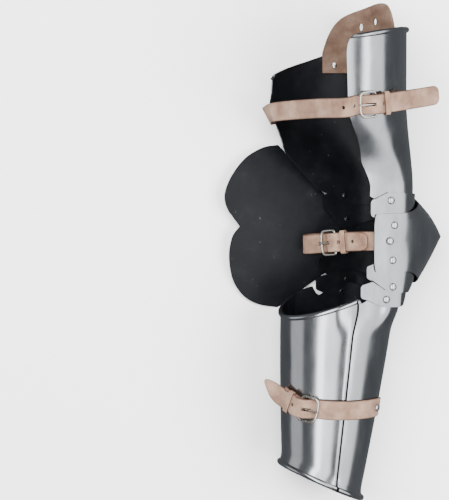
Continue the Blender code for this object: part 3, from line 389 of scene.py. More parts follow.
def new_object(name, mesh_data, materials=(), place=LAY):
    mesh_data.transform(place)
    bmesh.ops.recalc_face_normals(mesh_data, faces=mesh_data.faces)
    mesh = bpy.data.meshes.new(name)
    mesh_data.to_mesh(mesh)
    mesh_data.free()
    for material in materials:
        mesh.materials.append(material)
    obj = bpy.data.objects.new(name, mesh)
    bpy.context.collection.objects.link(obj)
    return obj


def add_piece(name, body, mesh_data, spec, cutters=()):
    """Make a piece from bmesh data in arm coordinates, cut its holes, and hang it on its body."""
    slot, materials = spec
    obj = new_object("look_" + name, mesh_data, materials)
    for tool in cutters:
        cut = obj.modifiers.new("hole", "BOOLEAN")
        cut.operation = "DIFFERENCE"
        cut.solver = "EXACT"
        cut.object = tool
    made = finished_mesh(obj)
    obj.modifiers.clear()
    obj.data = made
    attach(obj, body)
    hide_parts(name)


def grid_shell(rows, thick, lifts=None, weights=None, inner_slot=0, rim_slot=0):
    """A closed wall from a grid of outer points: the inner skin lies thick below it.

    Rows run up the arm, and each row runs from the inner side round the back to the outer side.
    lifts raises each row's outer point off the sheet, for a rolled edge, and weights scales it by column.
    The inner skin takes the material slot inner_slot, and the cut edges rim_slot.
    """
    count = len(rows)
    width = len(rows[0])
    normals = []
    for r in range(count):
        line = []
        for c in range(width):
            across = rows[r][min(c + 1, width - 1)] - rows[r][max(c - 1, 0)]
            along = rows[min(r + 1, count - 1)][c] - rows[max(r - 1, 0)][c]
            line.append(across.cross(along).normalized())
        normals.append(line)
    mesh = bmesh.new()
    outer, inner = [], []
    for r in range(count):
        lift = [(lifts[r] if lifts else 0.0) * (weights[c] if weights else 1.0) for c in range(width)]
        outer.append([mesh.verts.new(rows[r][c] + normals[r][c] * lift[c]) for c in range(width)])
        inner.append([mesh.verts.new(rows[r][c] - normals[r][c] * thick) for c in range(width)])
    for r in range(count - 1):
        for c in range(width - 1):
            mesh.faces.new((outer[r][c], outer[r][c + 1], outer[r + 1][c + 1], outer[r + 1][c]))
            under = mesh.faces.new((inner[r][c], inner[r + 1][c], inner[r + 1][c + 1], inner[r][c + 1]))
            under.material_index = inner_slot
    rim = []
    for c in range(width - 1):
        rim.append((outer[0][c + 1], outer[0][c], inner[0][c], inner[0][c + 1]))
        rim.append((outer[-1][c], outer[-1][c + 1], inner[-1][c + 1], inner[-1][c]))
    for r in range(count - 1):
        rim.append((outer[r][0], outer[r + 1][0], inner[r + 1][0], inner[r][0]))
        rim.append((outer[r + 1][-1], outer[r][-1], inner[r][-1], inner[r + 1][-1]))
    for corners in rim:
        mesh.faces.new(corners).material_index = rim_slot
    return mesh


def ring_of(mesh, centre, one, two, radius, sides):
    """A ring of new points round centre, in the plane of one and two."""
    angles = [2 * math.pi * k / sides for k in range(sides)]
    return [mesh.verts.new(centre + (one * math.cos(a) + two * math.sin(a)) * radius) for a in angles]


def join_rings(mesh, rings, closed=False):
    """Skin over rings of equally many points: a loop where closed, else with a cap at each end."""
    pairs = list(zip(rings, rings[1:]))
    if closed:
        pairs.append((rings[-1], rings[0]))
    for a, b in pairs:
        for k in range(len(a)):
            j = (k + 1) % len(a)
            mesh.faces.new((a[k], a[j], b[j], b[k]))
    if not closed:
        mesh.faces.new(list(reversed(rings[0])))
        mesh.faces.new(rings[-1])


def tube_along(path, radius, sides, side_axis, closed=False):
    """A round bar swept along a path; side_axis is never parallel to the path."""
    mesh = bmesh.new()
    rings = []
    count = len(path)
    for i, point in enumerate(path):
        ahead = path[(i + 1) % count] if closed else path[min(i + 1, count - 1)]
        behind = path[i - 1] if closed else path[max(i - 1, 0)]
        tangent = (ahead - behind).normalized()
        one = tangent.cross(side_axis).normalized()
        two = tangent.cross(one).normalized()
        rings.append(ring_of(mesh, point, one, two, radius, sides))
    join_rings(mesh, rings, closed)
    return mesh


# A strap's section, from its upper side's middle to its edge: shares of half the width and half the thickness
STRAP_SECTION = [(0.0, 1.0), (0.3, 1.0), (0.6, 1.0), (0.84, 1.0), (0.93, 0.92), (0.98, 0.62), (1.0, 0.2)]


def ribbon(path, widths, width, thick, shares=None):
    """A flat strap with eased edges along a path of middle points, each with its width direction.

    shares gives each point's share of the width. Its attribute edge runs from 0 inside to 1 at the cut edges.
    """
    mesh = bmesh.new()
    layer = mesh.verts.layers.float.new("edge")
    rings = []
    count = len(path)
    right = STRAP_SECTION + [(a, -b) for a, b in reversed(STRAP_SECTION)]
    section = right + [(-a, b) for a, b in reversed(right[1:-1])]
    for i, point in enumerate(path):
        tangent = (path[min(i + 1, count - 1)] - path[max(i - 1, 0)]).normalized()
        face = tangent.cross(widths[i]).normalized()
        side = face.cross(tangent).normalized()
        half = width / 2 * (shares[i] if shares else 1.0)
        ring = []
        for a, b in section:
            vert = mesh.verts.new(point + side * (half * a) + face * (thick / 2 * b))
            vert[layer] = max(abs(a) ** 4, 1.0 if i in (0, count - 1) else 0.0, 1.0 - abs(b))
            ring.append(vert)
        rings.append(ring)
    join_rings(mesh, rings)
    return mesh


def smooth_path(points, step):
    """Points at even steps along a smooth curve through the given ones."""
    ends = [points[0] * 2 - points[1]] + list(points) + [points[-1] * 2 - points[-2]]
    fine = []
    for i in range(1, len(ends) - 2):
        a, b, c, d = ends[i - 1], ends[i], ends[i + 1], ends[i + 2]
        for k in range(12):
            t = k / 12
            fine.append(0.5 * ((b * 2) + (c - a) * t + (a * 2 - b * 5 + c * 4 - d) * t * t
                               + (b * 3 - a - c * 3 + d) * t ** 3))
    fine.append(points[-1])
    total = sum((q - p).length for p, q in zip(fine, fine[1:]))
    pieces = max(2, round(total / step))
    out = [fine[0]]
    walked = 0.0
    target = total / pieces
    for p, q in zip(fine, fine[1:]):
        length = (q - p).length
        while walked + length >= target and len(out) < pieces:
            out.append(p.lerp(q, (target - walked) / length))
            target += total / pieces
        walked += length
    out.append(fine[-1])
    return out


def frame_of(direction):
    """Two directions across the given one, and that one."""
    axis = direction.normalized()
    helper = UP if abs(axis.y) < 0.8 else Vector((1, 0, 0))
    one = helper.cross(axis).normalized()
    return one, axis.cross(one), axis


# A rivet's peened tail: shares of RIVET_TAIL across, and how deep
TAIL_PROFILE = [(1.0, 0.0), (0.92, 0.5), (0.5, 0.9), (0.0, 1.0)]


def add_rivet(name, body, base, direction, grip):
    """A domed rivet: its head sits on base, and its shank and peened tail reach grip below it."""
    one, two, axis = frame_of(direction)
    lip = SEAT + RIVET_LIP
    profile = [(0.0, RIVET_DOME)]
    for k in range(1, DOME_STEPS + 1):
        angle = math.pi / 2 * k / DOME_STEPS
        profile.append((RIVET_HEAD * math.sin(angle), lip + (RIVET_DOME - lip) * math.cos(angle)))
    profile += [(RIVET_HEAD, SEAT), (RIVET_SHANK, SEAT), (RIVET_SHANK, -grip - SEAT)]
    profile += [(RIVET_TAIL * across, -grip - SEAT - depth) for across, depth in TAIL_PROFILE]
    mesh = bmesh.new()
    rings = []
    for radius, height in profile:
        centre = base + axis * height
        if radius == 0.0:
            rings.append([mesh.verts.new(centre)])
        else:
            rings.append(ring_of(mesh, centre, one, two, radius, RIVET_SIDES))
    for a, b in zip(rings, rings[1:]):
        for k in range(RIVET_SIDES):
            j = (k + 1) % RIVET_SIDES
            if len(a) == 1:
                mesh.faces.new((a[0], b[k], b[j]))
            elif len(b) == 1:
                mesh.faces.new((a[k], b[0], a[j]))
            else:
                mesh.faces.new((a[k], b[k], b[j], a[j]))
    add_piece(name, body, mesh, RIVET_STEEL)


def cutter(name, mesh_data):
    """A hidden body that cuts a hole; it goes once every piece is cut."""
    obj = new_object(name, mesh_data)
    obj.hide_render = True
    CUTTERS.append(obj)
    return obj


def hole_cutter(name, base, direction, depth, radius=RIVET_HOLE):
    axis = direction.normalized()
    path = [base + axis * depth, base - axis * depth]
    return cutter(name, tube_along(path, radius, HOLE_SIDES, frame_of(axis)[0]))


def leg_columns(shares):
    """Columns round the elbow plates: the inner leg, the back, and the outer leg."""
    inner = [("inner", s) for s in shares]
    arcs = [("arc", a) for a in range(90 - ARC_STEP, -90, -ARC_STEP)]
    outer = [("outer", s) for s in reversed(shares)]
    return inner + arcs + outer


def half_width(level):
    return ELBOW_HALF - level * NEST


def round_pivot(back, height, pivot):
    """How far back a circle about the pivot lies at a height, when it lies at back level with the pivot."""
    return pivot[0] + math.sqrt(max((back - pivot[0]) ** 2 - (height - pivot[1]) ** 2, 1.0))


def plate_point(column, height, reach, front, half, pivot, hidden):
    """A point on an elbow plate: flat legs from front to FLAT, then a half ellipse to reach.

    Past the pivot, on its hidden side (+1 above, -1 below), the plate follows circles about the pivot.
    """
    kind, value = column
    if kind != "arc":
        side = half if kind == "inner" else -half
        return Vector((lerp(front, FLAT, 1 - value), height, side))
    angle = math.radians(value)
    back = FLAT + (reach - FLAT) * math.cos(angle)
    if (height - pivot[1]) * hidden > 0:
        back = round_pivot(back, height, pivot)
    return Vector((back, height, half * math.sin(angle)))


def column_turn(column):
    """0 at the fronts of the legs, 1 at the ridge."""
    kind, value = column
    if kind != "arc":
        return 0.0
    return math.cos(math.radians(value))


def corner_cut(share):
    """How far a leg's front edge draws back at a share of its height."""
    out = max(0.0, abs(2 * share - 1) - 0.5) / 0.5
    return CORNER * (1 - math.sqrt(1 - out * out))


def edge(leg_front, leg_mid, leg_back, ridge):
    """An edge's height by column, from the heights at the leg's front, middle and back and at the ridge."""
    def height(column):
        kind, value = column
        if kind == "arc":
            return lerp(leg_back, ridge, column_turn(column))
        if value > 0.5:
            return lerp(leg_mid, leg_front, (value - 0.5) * 2)
        return lerp(leg_back, leg_mid, value * 2)
    return height


LEG = tuple(1.0 - k / 12 for k in range(13))


def pivot_base(name, side, level):
    x, y = PIVOTS[name]
    return Vector((x, y, side * half_width(level)))


def pivot_holes(name, body, level):
    """Clearance holes through both legs of a plate at one pivot."""
    out = []
    for side, word in ((1, "inner"), (-1, "outer")):
        base = pivot_base(name, side, level)
        out.append(hole_cutter(f"cut_{name}_{body}_{word}", base, Vector((0, 0, side)), PIVOT_HOLE_DEPTH))
    return out


def cup_reach(height):
    """How far back the cup's ridge lies at a height: out to the tip, with bulging sides above and below."""
    if height >= CUP_TIP_HEIGHT:
        t = (height - CUP_TIP_HEIGHT) / (CUP_TOP - CUP_TIP_HEIGHT)
        return lerp(CUP_TIP, CUP_TOP_REACH, t) + CUP_BULGE_TOP * math.sin(math.pi * t)
    t = (CUP_TIP_HEIGHT - height) / (CUP_TIP_HEIGHT - CUP_BOTTOM)
    return lerp(CUP_TIP, CUP_BOTTOM_REACH, t) + CUP_BULGE_BOTTOM * math.sin(math.pi * t)


# The wing's rim from its lower to its upper end: shares of WING_REACH forward and WING_HEIGHT up
WING_RIM = [
    (0.547, -0.776), (0.70, -0.74), (0.82, -0.66), (0.90, -0.54), (0.945, -0.41), (0.968, -0.24),
    (0.965, -0.10), (0.940, 0.03), (0.885, 0.125), (0.942, 0.235), (0.985, 0.33), (1.0, 0.46),
    (0.965, 0.60), (0.895, 0.745), (0.795, 0.88), (0.655, 0.975), (0.525, 1.0),
]
WING_COLUMNS = 40
WING_ROWS = 96
RIM_STEP = 0.004
NOTCH = 8


def wing_rim():
    """The wing's rim as WING_ROWS + 1 even steps; the notch between its two lobes stays a corner."""
    lower = [Vector((*p, 0.0)) for p in WING_RIM[:NOTCH + 1]]
    upper = [Vector((*p, 0.0)) for p in WING_RIM[NOTCH:]]
    half = WING_ROWS // 2
    runs = []
    for part_of_rim in (lower, upper):
        fine = smooth_path(part_of_rim, RIM_STEP)
        runs.append([fine[round(k * (len(fine) - 1) / half)] for k in range(half + 1)])
    return [(p.x, p.y) for p in runs[0] + runs[1][1:]]


def wing_side(x, y):
    """How far out the wing lies from the leg's plane, by the distance from the elbow's axis."""
    over = max(0.0, math.hypot(x, y) - WING_START)
    return WING_SLOPE * over * over / (over + WING_EASE)


def couter_rows():
    columns = leg_columns(LEG)
    rows = []
    rim_points = wing_rim()
    count = len(rim_points) - 1
    for r, (forward, up) in enumerate(rim_points):
        share = r / count
        line = []
        for column in columns[:-len(LEG)]:
            turn = column_turn(column)
            top = lerp(CUP_SIDE_TOP, CUP_TOP, turn ** 2)
            bottom = lerp(CUP_SIDE_BOTTOM, CUP_BOTTOM, turn ** 2)
            height = lerp(bottom, top, share)
            kind, value = column
            half = half_width(0)
            if kind == "inner":
                front = CUP_FRONT + corner_cut(share) / 2
                line.append(Vector((lerp(front, FLAT, 1 - value), height, half)))
                continue
            m = abs(math.sin(math.radians(value)))
            reach = cup_reach(lerp(CUP_BOTTOM, CUP_TOP, share))
            sharp = min(1.0, max(0.0, (reach - CUP_TOP_REACH) / (CUP_TIP - CUP_TOP_REACH)))
            keel = lerp(math.sqrt(1 - m * m), (1 - m ** KEEL_SQUARE) ** KEEL_SHARP, sharp)
            side = half * math.sin(math.radians(value))
            line.append(Vector((FLAT + (reach - FLAT) * keel, height, side)))
        root_height = lerp(CUP_SIDE_BOTTOM, CUP_SIDE_TOP, share)
        for k in range(4):
            line.append(Vector((lerp(FLAT, WING_ROOT, k / 4), root_height, -half_width(0))))
        rim = Vector((-WING_REACH * forward, WING_HEIGHT * up, 0.0))
        root = Vector((WING_ROOT, root_height, 0.0))
        for k in range(WING_COLUMNS + 1):
            place = root.lerp(rim, (k / WING_COLUMNS) ** WING_CROWD)
            place.z = -half_width(0) - wing_side(place.x, place.y)
            line.append(place)
        rows.append(line)
    return rows


def upper_blend(height):
    """0 where the upper cannon starts to open, 1 where it is round."""
    t = (height - UPPER_OPENS) / (UPPER_ROUND - UPPER_OPENS)
    t = min(max(t, 0.0), 1.0)
    return (t * t * (3 - 2 * t) + t) / 2


# Where the upper cannon's edges lie, by share of the height from pivot to rim: degrees from the back
INNER_EDGE = [(0.0, 126), (0.21, 124), (0.3, 117), (0.39, 112), (0.6, 109), (0.86, 110), (0.90, 109.3),
              (0.925, 108), (0.945, 105.8), (0.958, 103), (0.966, 100.5), (1.0, 100)]
OUTER_EDGE = [(0.0, 128), (0.03, 133), (0.115, 146), (0.205, 154), (0.277, 159), (0.356, 150), (0.43, 139),
              (0.49, 131), (0.6, 124.5), (0.69, 122.5), (0.708, 119.5), (1.0, 119)]
# The share at which each edge meets the rim
RIM_SHARE = {"inner": 0.955, "arc": 1.0, "outer": 0.70}
# The rim's height by the same angle: shares of UPPER_TOP
RIM_BY_ANGLE = [(-125, 0.765), (-105, 0.80), (-80, 0.842), (-40, 0.925), (0, 0.985), (50, 1.0), (112, 0.965)]


def upper_point(angle, height):
    """A point on the upper cannon: a narrow elbow section that opens into a round one."""
    blend = upper_blend(height)
    half = half_width(2)
    pivot = PIVOTS["upper_cannon"]
    rad = math.radians(angle)
    if abs(angle) <= 90:
        back = FLAT + (UPPER_ELBOW_REACH - FLAT) * math.cos(rad)
        if height < pivot[1]:
            back = lerp(FLAT, round_pivot(back, height, pivot), min(1.0, math.cos(rad) * LEG_EASE))
        low = Vector((back, height, half * math.sin(rad)))
    else:
        low = Vector((FLAT - (abs(angle) - 90), height, math.copysign(half, angle)))
    high = Vector((UPPER_CENTRE + UPPER_RADIUS * math.cos(rad), height, UPPER_RADIUS * math.sin(rad)))
    return low.lerp(high, blend)


UPPER_ROWS = 60
UPPER_LEG = tuple(1.0 - k / 15 for k in range(16))
ROLL_STEPS = 10


def roll_steps():
    """Steps across a rolled rim, and how far each stands off the sheet."""
    steps = [k / ROLL_STEPS for k in range(ROLL_STEPS + 1)]
    lifts = []
    for step in steps:
        least = ROLL_LIP if step > 0.5 else 0.0
        lifts.append(ROLL * max(math.sqrt(max(0.0, 1 - (2 * step - 1) ** 2)), least))
    return steps, lifts


def upper_angle(column, height_share):
    kind, value = column
    if kind == "arc":
        return float(value)
    if kind == "inner":
        return lerp(90, table(INNER_EDGE, height_share), value)
    return -lerp(90, table(OUTER_EDGE, height_share), value)


def upper_bottom(angle):
    turn = max(0.0, math.cos(math.radians(angle)))
    ear = PIVOTS["upper_cannon"][1] - EAR
    front = max(0.0, abs(angle) - 100) * UPPER_FRONT_RISE
    return lerp(ear, UPPER_BOTTOM, turn) + front


def upper_cannon_rows():
    columns = leg_columns(UPPER_LEG)
    low = PIVOTS["upper_cannon"][1]
    steps, rim_lifts = roll_steps()

    def place(column, height):
        return upper_point(upper_angle(column, (height - low) / (UPPER_TOP - low)), height)

    rows = []
    for r in range(UPPER_ROWS):
        share = r / UPPER_ROWS
        line = []
        for column in columns:
            angle = upper_angle(column, max(0.0, share * (1 + EDGE_START) - EDGE_START))
            top = UPPER_TOP * table(RIM_BY_ANGLE, angle) - ROLL_WIDTH
            line.append(place(column, lerp(upper_bottom(angle), top, share)))
        rows.append(line)
    for step in steps:
        line = []
        for column in columns:
            rim = UPPER_TOP * table(RIM_BY_ANGLE, upper_angle(column, RIM_SHARE[column[0]]))
            line.append(place(column, rim - ROLL_WIDTH * (1 - step)))
        rows.append(line)
    return rows, [0.0] * UPPER_ROWS + rim_lifts


def lower_section(height):
    """Centre and half widths of the lower cannon at a height."""
    t = max((TAPER_TOP - height) / (TAPER_TOP - LOWER_NECK), 0.0)
    ease = t ** TAPER_POWER
    centre = lerp(LOWER_TOP_CENTRE, LOWER_WRIST_CENTRE, t)
    across = lerp(LOWER_TOP_HALF, LOWER_WRIST_HALF, ease)
    side = lerp(LOWER_TOP_SIDE, LOWER_WRIST_SIDE, ease)
    return centre, across, side


def lower_point(angle, height, inset=0.0):
    """A point on the lower cannon: an oval tube whose top is drawn into flat legs at the last pivot."""
    centre, across, side = lower_section(height)
    flare = FLARE * max(0.0, 1 - (height - lower_end(angle)) / FLARE_LENGTH) ** FLARE_POWER
    across += flare
    side += flare
    rad = math.radians(angle)
    turn = abs((angle + 180) % 360 - 180)
    drawn = min(max((height - LOWER_DRAWN_FROM) / (LOWER_DRAWN_TO - LOWER_DRAWN_FROM), 0.0), 1.0)
    drawn = drawn * drawn * (3 - 2 * drawn)
    x = centre + (across - inset) * math.cos(rad) + drawn * table(LEG_BACK_SHIFT, turn)
    z = (side - inset) * math.sin(rad)
    return Vector((x, height, z + drawn * table(LEG_SIDE_SHIFT, turn) * math.copysign(1.0, z)))


def lower_rim(angle):
    """The slanted top rim: lowest in front, in the crook of the arm."""
    return LOWER_RIM + RIM_RISE * (1 - math.cos(math.radians(angle - RIM_LOW_ANGLE)))


def lower_end(angle):
    """The wrist rim, lower at the back and a little on the inner side."""
    rad = math.radians(angle)
    return LOWER_END - END_SLANT * math.cos(rad) - END_TURN * math.sin(rad)


# How the lower cannon's top is drawn into its legs, by the angle from the back: back and out, and the
# edge's height above the last pivot
LEG_BACK_SHIFT = [(0, -0.5), (15, 0.6), (30, 2.4), (45, 5.5), (60, 6.5), (75, 6.7), (90, 6.0), (115, 0.0)]
LEG_SIDE_SHIFT = [(0, 0.0), (15, 1.1), (30, 3.0), (45, 4.6), (60, 3.1), (75, -1.9), (90, -3.6), (115, 0.0)]
NECK_TOP = [(0, 4.6), (30, 5.1), (45, 7.0), (60, 9.0), (75, 7.0), (90, -2.0), (98, -8.0), (180, -40.0)]
LOWER_ROWS = 50
NECK_STEPS = 16
RISE_STEPS = 8


def lower_plate_rows(angles, inset, lift_top=True):
    """Rows of a plate from wrist to rim; where it is tucked under past the seam, its top steps down."""
    level = {a: TAPER_TOP - LEVEL_SLANT * math.sin(math.radians(a)) for a in angles}
    tops = level
    if lift_top:
        tops = {a: lower_rim(max(a, SEAM_ANGLE)) - max(0.0, SEAM_ANGLE - a) * LAP_DROP for a in angles}
        level = {a: min(level[a], tops[a] - RIM_ROOM) for a in angles}
    tuck = {a: inset + (LAP_TUCK if lift_top and a <= SEAM_ANGLE else 0.0) for a in angles}
    rows, lifts = [], []
    steps, rim_lifts = roll_steps()
    for step, lift in zip(reversed(steps), reversed(rim_lifts)):
        rows.append([lower_point(a, lower_end(a) + ROLL_WIDTH * (1 - step), tuck[a]) for a in angles])
        lifts.append(lift)
    for r in range(1, LOWER_ROWS):
        share = r / LOWER_ROWS
        rows.append([
            lower_point(a, lerp(lower_end(a) + ROLL_WIDTH, level[a] - ROLL_WIDTH, share), tuck[a])
            for a in angles])
        lifts.append(0.0)
    if lift_top:
        for k in range(RISE_STEPS):
            share = k / RISE_STEPS
            rows.append([
                lower_point(a, lerp(level[a], tops[a], share) - ROLL_WIDTH, tuck[a]) for a in angles])
            lifts.append(0.0)
    for step, lift in zip(steps, rim_lifts):
        rows.append([lower_point(a, tops[a] - ROLL_WIDTH * (1 - step), tuck[a]) for a in angles])
        lifts.append(lift if lift_top else 0.0)
    return rows, lifts


def back_plate_rows():
    """The back plate of the lower cannon, drawn up at the back into the part under the last lame."""
    angles = spread(SEAM_ANGLE, HINGE_ANGLE - 360.0, ARC_STEP)
    rows, lifts = lower_plate_rows(angles, 0.0, lift_top=False)
    rows = rows[:-ROLL_STEPS]
    lifts = lifts[:-ROLL_STEPS]
    top = PIVOTS["lower_cannon"][1]
    crests = []
    for a in angles:
        crest = top + table(NECK_TOP, abs(a))
        if abs(a) > 90:
            crest = lerp(crest, lower_rim(a), min(1.0, (abs(a) - 90) / 8) ** 2)
        crests.append(crest)
    start = rows[-1]
    for k in range(1, NECK_STEPS + 1):
        share = k / NECK_STEPS
        rows.append([
            lower_point(a, lerp(low.y, crest, share)) for a, low, crest in zip(angles, start, crests)])
        lifts.append(0.0)
    return rows, lifts


def front_plate_rows():
    """The front plate, tucked under the back plate's edges, where it has no roll."""
    start = HINGE_ANGLE + HINGE_LAP
    stop = SEAM_ANGLE - SEAM_LAP
    inner = spread(HINGE_ANGLE - 3.0, SEAM_ANGLE + 3.0, ARC_STEP)
    angles = spread(start, HINGE_ANGLE, ARC_STEP) + inner + spread(SEAM_ANGLE, stop, ARC_STEP)
    rows, lifts = lower_plate_rows(angles, NEST)
    return rows, lifts, [1.0 if HINGE_ANGLE > a > SEAM_ANGLE else 0.0 for a in angles]


def tab_rows():
    """The tab lies against the upper cannon's inside, and rises past its rim with rounded corners."""
    rows = []
    inset = SHEET + GAP + TAB_ROOM
    for r in range(TAB_STEPS + 1):
        share = r / TAB_STEPS
        line = []
        for k in range(TAB_COLUMNS + 1):
            angle = lerp(TAB_TO, TAB_FROM, k / TAB_COLUMNS)
            rim = UPPER_TOP * table(RIM_BY_ANGLE, angle)
            along = (k / TAB_COLUMNS - 0.5) * 2
            top = rim + TAB_RISE * (1 - abs(along) ** TAB_CORNER_POWER * TAB_CORNER_DROP)
            height = lerp(TAB_FOOT, top, share)
            rad = math.radians(angle)
            radius = UPPER_RADIUS - inset
            line.append(Vector((UPPER_CENTRE + radius * math.cos(rad), height, radius * math.sin(rad))))
        rows.append(line)
    return rows


# Each pivot's plates: the outer one with its level and the inner one with its level, 0 being outermost
SEATS = [
    ("upper_cannon", "upper_lame", 1, "upper_cannon", 2),
    ("upper_lame", "couter", 0, "upper_lame", 1),
    ("lower_lame_a", "couter", 0, "lower_lame_a", 1),
    ("lower_lame_b", "lower_lame_a", 1, "lower_lame_b", 2),
    ("lower_cannon", "lower_lame_b", 2, "lower_cannon", 3),
]
LAME_ROWS = 16


def lame_a_reach(height):
    """Lower lame A's back is round about its own pivots."""
    pivot = PIVOTS["lower_lame_a"]
    return round_pivot(pivot[0] + LAME_A_RADIUS, height, pivot)


def lame_b_reach(height):
    """Lower lame B's back is round about its own pivots below them, and straight above."""
    pivot = PIVOTS["lower_lame_b"]
    return round_pivot(pivot[0] + LAME_B_RADIUS, min(height, pivot[1]), pivot)


# The lames: level, leg front, reach by height, hidden side, top edge and bottom edge
LAMES = {
    "upper_lame": (1, UPPER_LAME_FRONT, lambda height: UPPER_LAME_REACH, 0,
                   edge(46.0, 52.0, 51.0, UPPER_LAME_TOP), edge(26.0, 8.5, 9.5, UPPER_LAME_BOTTOM)),
    "lower_lame_a": (1, LAME_A_FRONT, lame_a_reach, 0,
                     edge(-22.0, -9.0, -9.5, LAME_A_TOP), edge(-38.0, -49.0, -52.5, LAME_A_BOTTOM)),
    "lower_lame_b": (2, LAME_B_FRONT, lame_b_reach, 1,
                     edge(-42.0, -37.0, -37.5, LAME_B_TOP), edge(-58.0, -67.0, -67.5, LAME_B_BOTTOM)),
}


def lame_rows(name):
    level, front, reach, hidden, top, bottom = LAMES[name]
    rows = []
    for r in range(LAME_ROWS + 1):
        share = r / LAME_ROWS
        line = []
        for column in leg_columns(LEG):
            height = lerp(bottom(column), top(column), share)
            line.append(plate_point(column, height, reach(height), front + corner_cut(share),
                                    half_width(level), PIVOTS[name], hidden))
        rows.append(line)
    return rows


def steel_plate(name, body, rows, cutters, lifts=None, weights=None, rim_slot=1):
    """A plate of sheet steel, blacked inside. Unless rim_slot is 0, its cut edges take the same dark finish
    as painted shade along the plate's edges.
    """
    add_piece(name, body, grid_shell(rows, SHEET, lifts, weights, 1, rim_slot), STEEL, cutters)


def add_plates(strap_holes):
    holes = {name: [] for name in [*PIVOTS, "couter"]}
    add_lap_rivets(strap_holes)
    tab_holes = add_tab_rivets(strap_holes)
    for name in ("upper_cannon", "couter"):
        holes[name] += strap_holes[name]
    for pivot, outer, outer_level, inner, inner_level in SEATS:
        holes[outer] += pivot_holes(pivot, outer, outer_level)
        holes[inner] += pivot_holes(pivot, inner, inner_level)
        for side, word in ((1, "inner"), (-1, "outer")):
            add_rivet(f"rivet_{pivot}_{word}", outer, pivot_base(pivot, side, outer_level),
                      Vector((0, 0, side)), SHEET * 2 + GAP)

    rows, lifts = upper_cannon_rows()
    steel_plate("upper_cannon", "upper_cannon", rows, holes["upper_cannon"], lifts, rim_slot=0)
    steel_plate("couter", "couter", couter_rows(), holes["couter"])
    for name in LAMES:
        steel_plate(name, name, lame_rows(name), holes[name])
    rows, lifts = back_plate_rows()
    steel_plate("lower_cannon_back", "lower_cannon", rows,
                holes["lower_cannon"] + strap_holes["lower_cannon_back"], lifts)
    rows, lifts, weights = front_plate_rows()
    steel_plate("lower_cannon_front", "lower_cannon", rows, strap_holes["lower_cannon_front"], lifts,
                weights, rim_slot=0)
    add_piece("arming_tab", "upper_cannon", grid_shell(tab_rows(), TAB_LEATHER), TAB_HIDE, tab_holes)


LINE_STEP = 0.75


class BaseLine:
    """The line that a strap lies along: points at even steps, with the slope of what it lies on.

    marks are (point, up): the direction up the arm on the surface below that point.
    """

    def __init__(self, marks, outward):
        self.points = smooth_path([point for point, _ in marks], LINE_STEP)
        self.outward = outward
        self.lengths = [0.0]
        for p, q in zip(self.points, self.points[1:]):
            self.lengths.append(self.lengths[-1] + (q - p).length)
        self.slopes = [(self.nearest(point), up) for point, up in marks]

    def up(self, s):
        for (s0, up0), (s1, up1) in zip(self.slopes, self.slopes[1:]):
            if s <= s1:
                return up0.lerp(up1, min(max((s - s0) / (s1 - s0), 0.0), 1.0))
        return self.slopes[-1][1]

    def frame(self, s):
        """Place, direction, width direction and normal at the length s."""
        last = len(self.points) - 1
        i = min(range(last + 1), key=lambda k: abs(self.lengths[k] - s))
        along = (self.points[min(i + 4, last)] - self.points[max(i - 4, 0)]).normalized()
        normal = (along.cross(self.up(s)) * self.outward).normalized()
        width = normal.cross(along)
        place = self.points[i] + along * (s - self.lengths[i])
        return place, along, width, normal

    def at(self, s, lift):
        place, _, _, normal = self.frame(s)
        return place + normal * lift

    def nearest(self, point):
        return self.lengths[min(range(len(self.points)), key=lambda k: (self.points[k] - point).length)]


def box_mesh(place, axes, low, high):
    """A box between two corners given along three axes."""
    mesh = bmesh.new()
    corners = []
    for i in (low[0], high[0]):
        for j in (low[1], high[1]):
            for k in (low[2], high[2]):
                corners.append(mesh.verts.new(place + axes[0] * i + axes[1] * j + axes[2] * k))
    for quad in ((0, 1, 3, 2), (4, 6, 7, 5), (0, 4, 5, 1), (2, 3, 7, 6), (0, 2, 6, 4), (1, 5, 7, 3)):
        mesh.faces.new([corners[q] for q in quad])
    return mesh


# Heights above what the strap lies on: the layers of leather, the bar and the prong
LAYER = SEAT + LEATHER / 2
BAR_LIFT = SEAT + LEATHER + SEAT + WIRE
FOLD_RADIUS = WIRE + SEAT + LEATHER / 2
OVER_BAR = BAR_LIFT + FOLD_RADIUS + LEATHER + SEAT * 2
PRONG_LIFT = BAR_LIFT + WIRE + SEAT + PRONG
KEEPER_LEATHER = 1.2
IN_KEEPER = SEAT + LEATHER + SEAT * 2 + KEEPER_LEATHER + SEAT + LEATHER / 2
TAIL_LIFT = IN_KEEPER + 1.2
KEEPER_AT = 12.0
RIVET_AT = KEEPER_AT + 8.0
FOLD_BACK = 5.0
STRAP_TOP = LAYER + LEATHER / 2 + 0.2
CURVE_ROOM = 0.9
PUNCH = 2.0
SLOT = PRONG + 0.7
# Where the prong's slots start and end, along the strap from the bar and up from what it lies on
TONGUE_SLOT = ((-11.0, PRONG_LIFT - 7.0), (-2.5, PRONG_LIFT + 7.0))
FOLD_SLOT = ((-6.0, -1.0), (4.3, 9.5))
# Steps along a strap, finer at its tip, and the least share of its width there
STRAP_STEP = 1.5
TIP_STEP = 0.4
TIP_LEAST = 0.12
# The wire frame, its prong and the keeper's room beside the strap
FRAME_STEP = 0.8
FRAME_ROUND = 0.55
TURN_STEPS = 18
WIRE_SIDES = 14
PRONG_SIDES = 12
PRONG_MARKS = (-3.0, -7.0, -11.0, -15.0, -BUCKLE_LENGTH - 1.3)
PRONG_DROP = 0.02
KEEPER_ROOM = 0.8


def slot_cutter(name, place, axes, ends):
    """Cuts the prong's slot between two ends, each given along the strap and up."""
    (start, low), (stop, high) = ends
    return cutter(name, box_mesh(place, axes, (start, -SLOT, low), (stop, SLOT, high)))


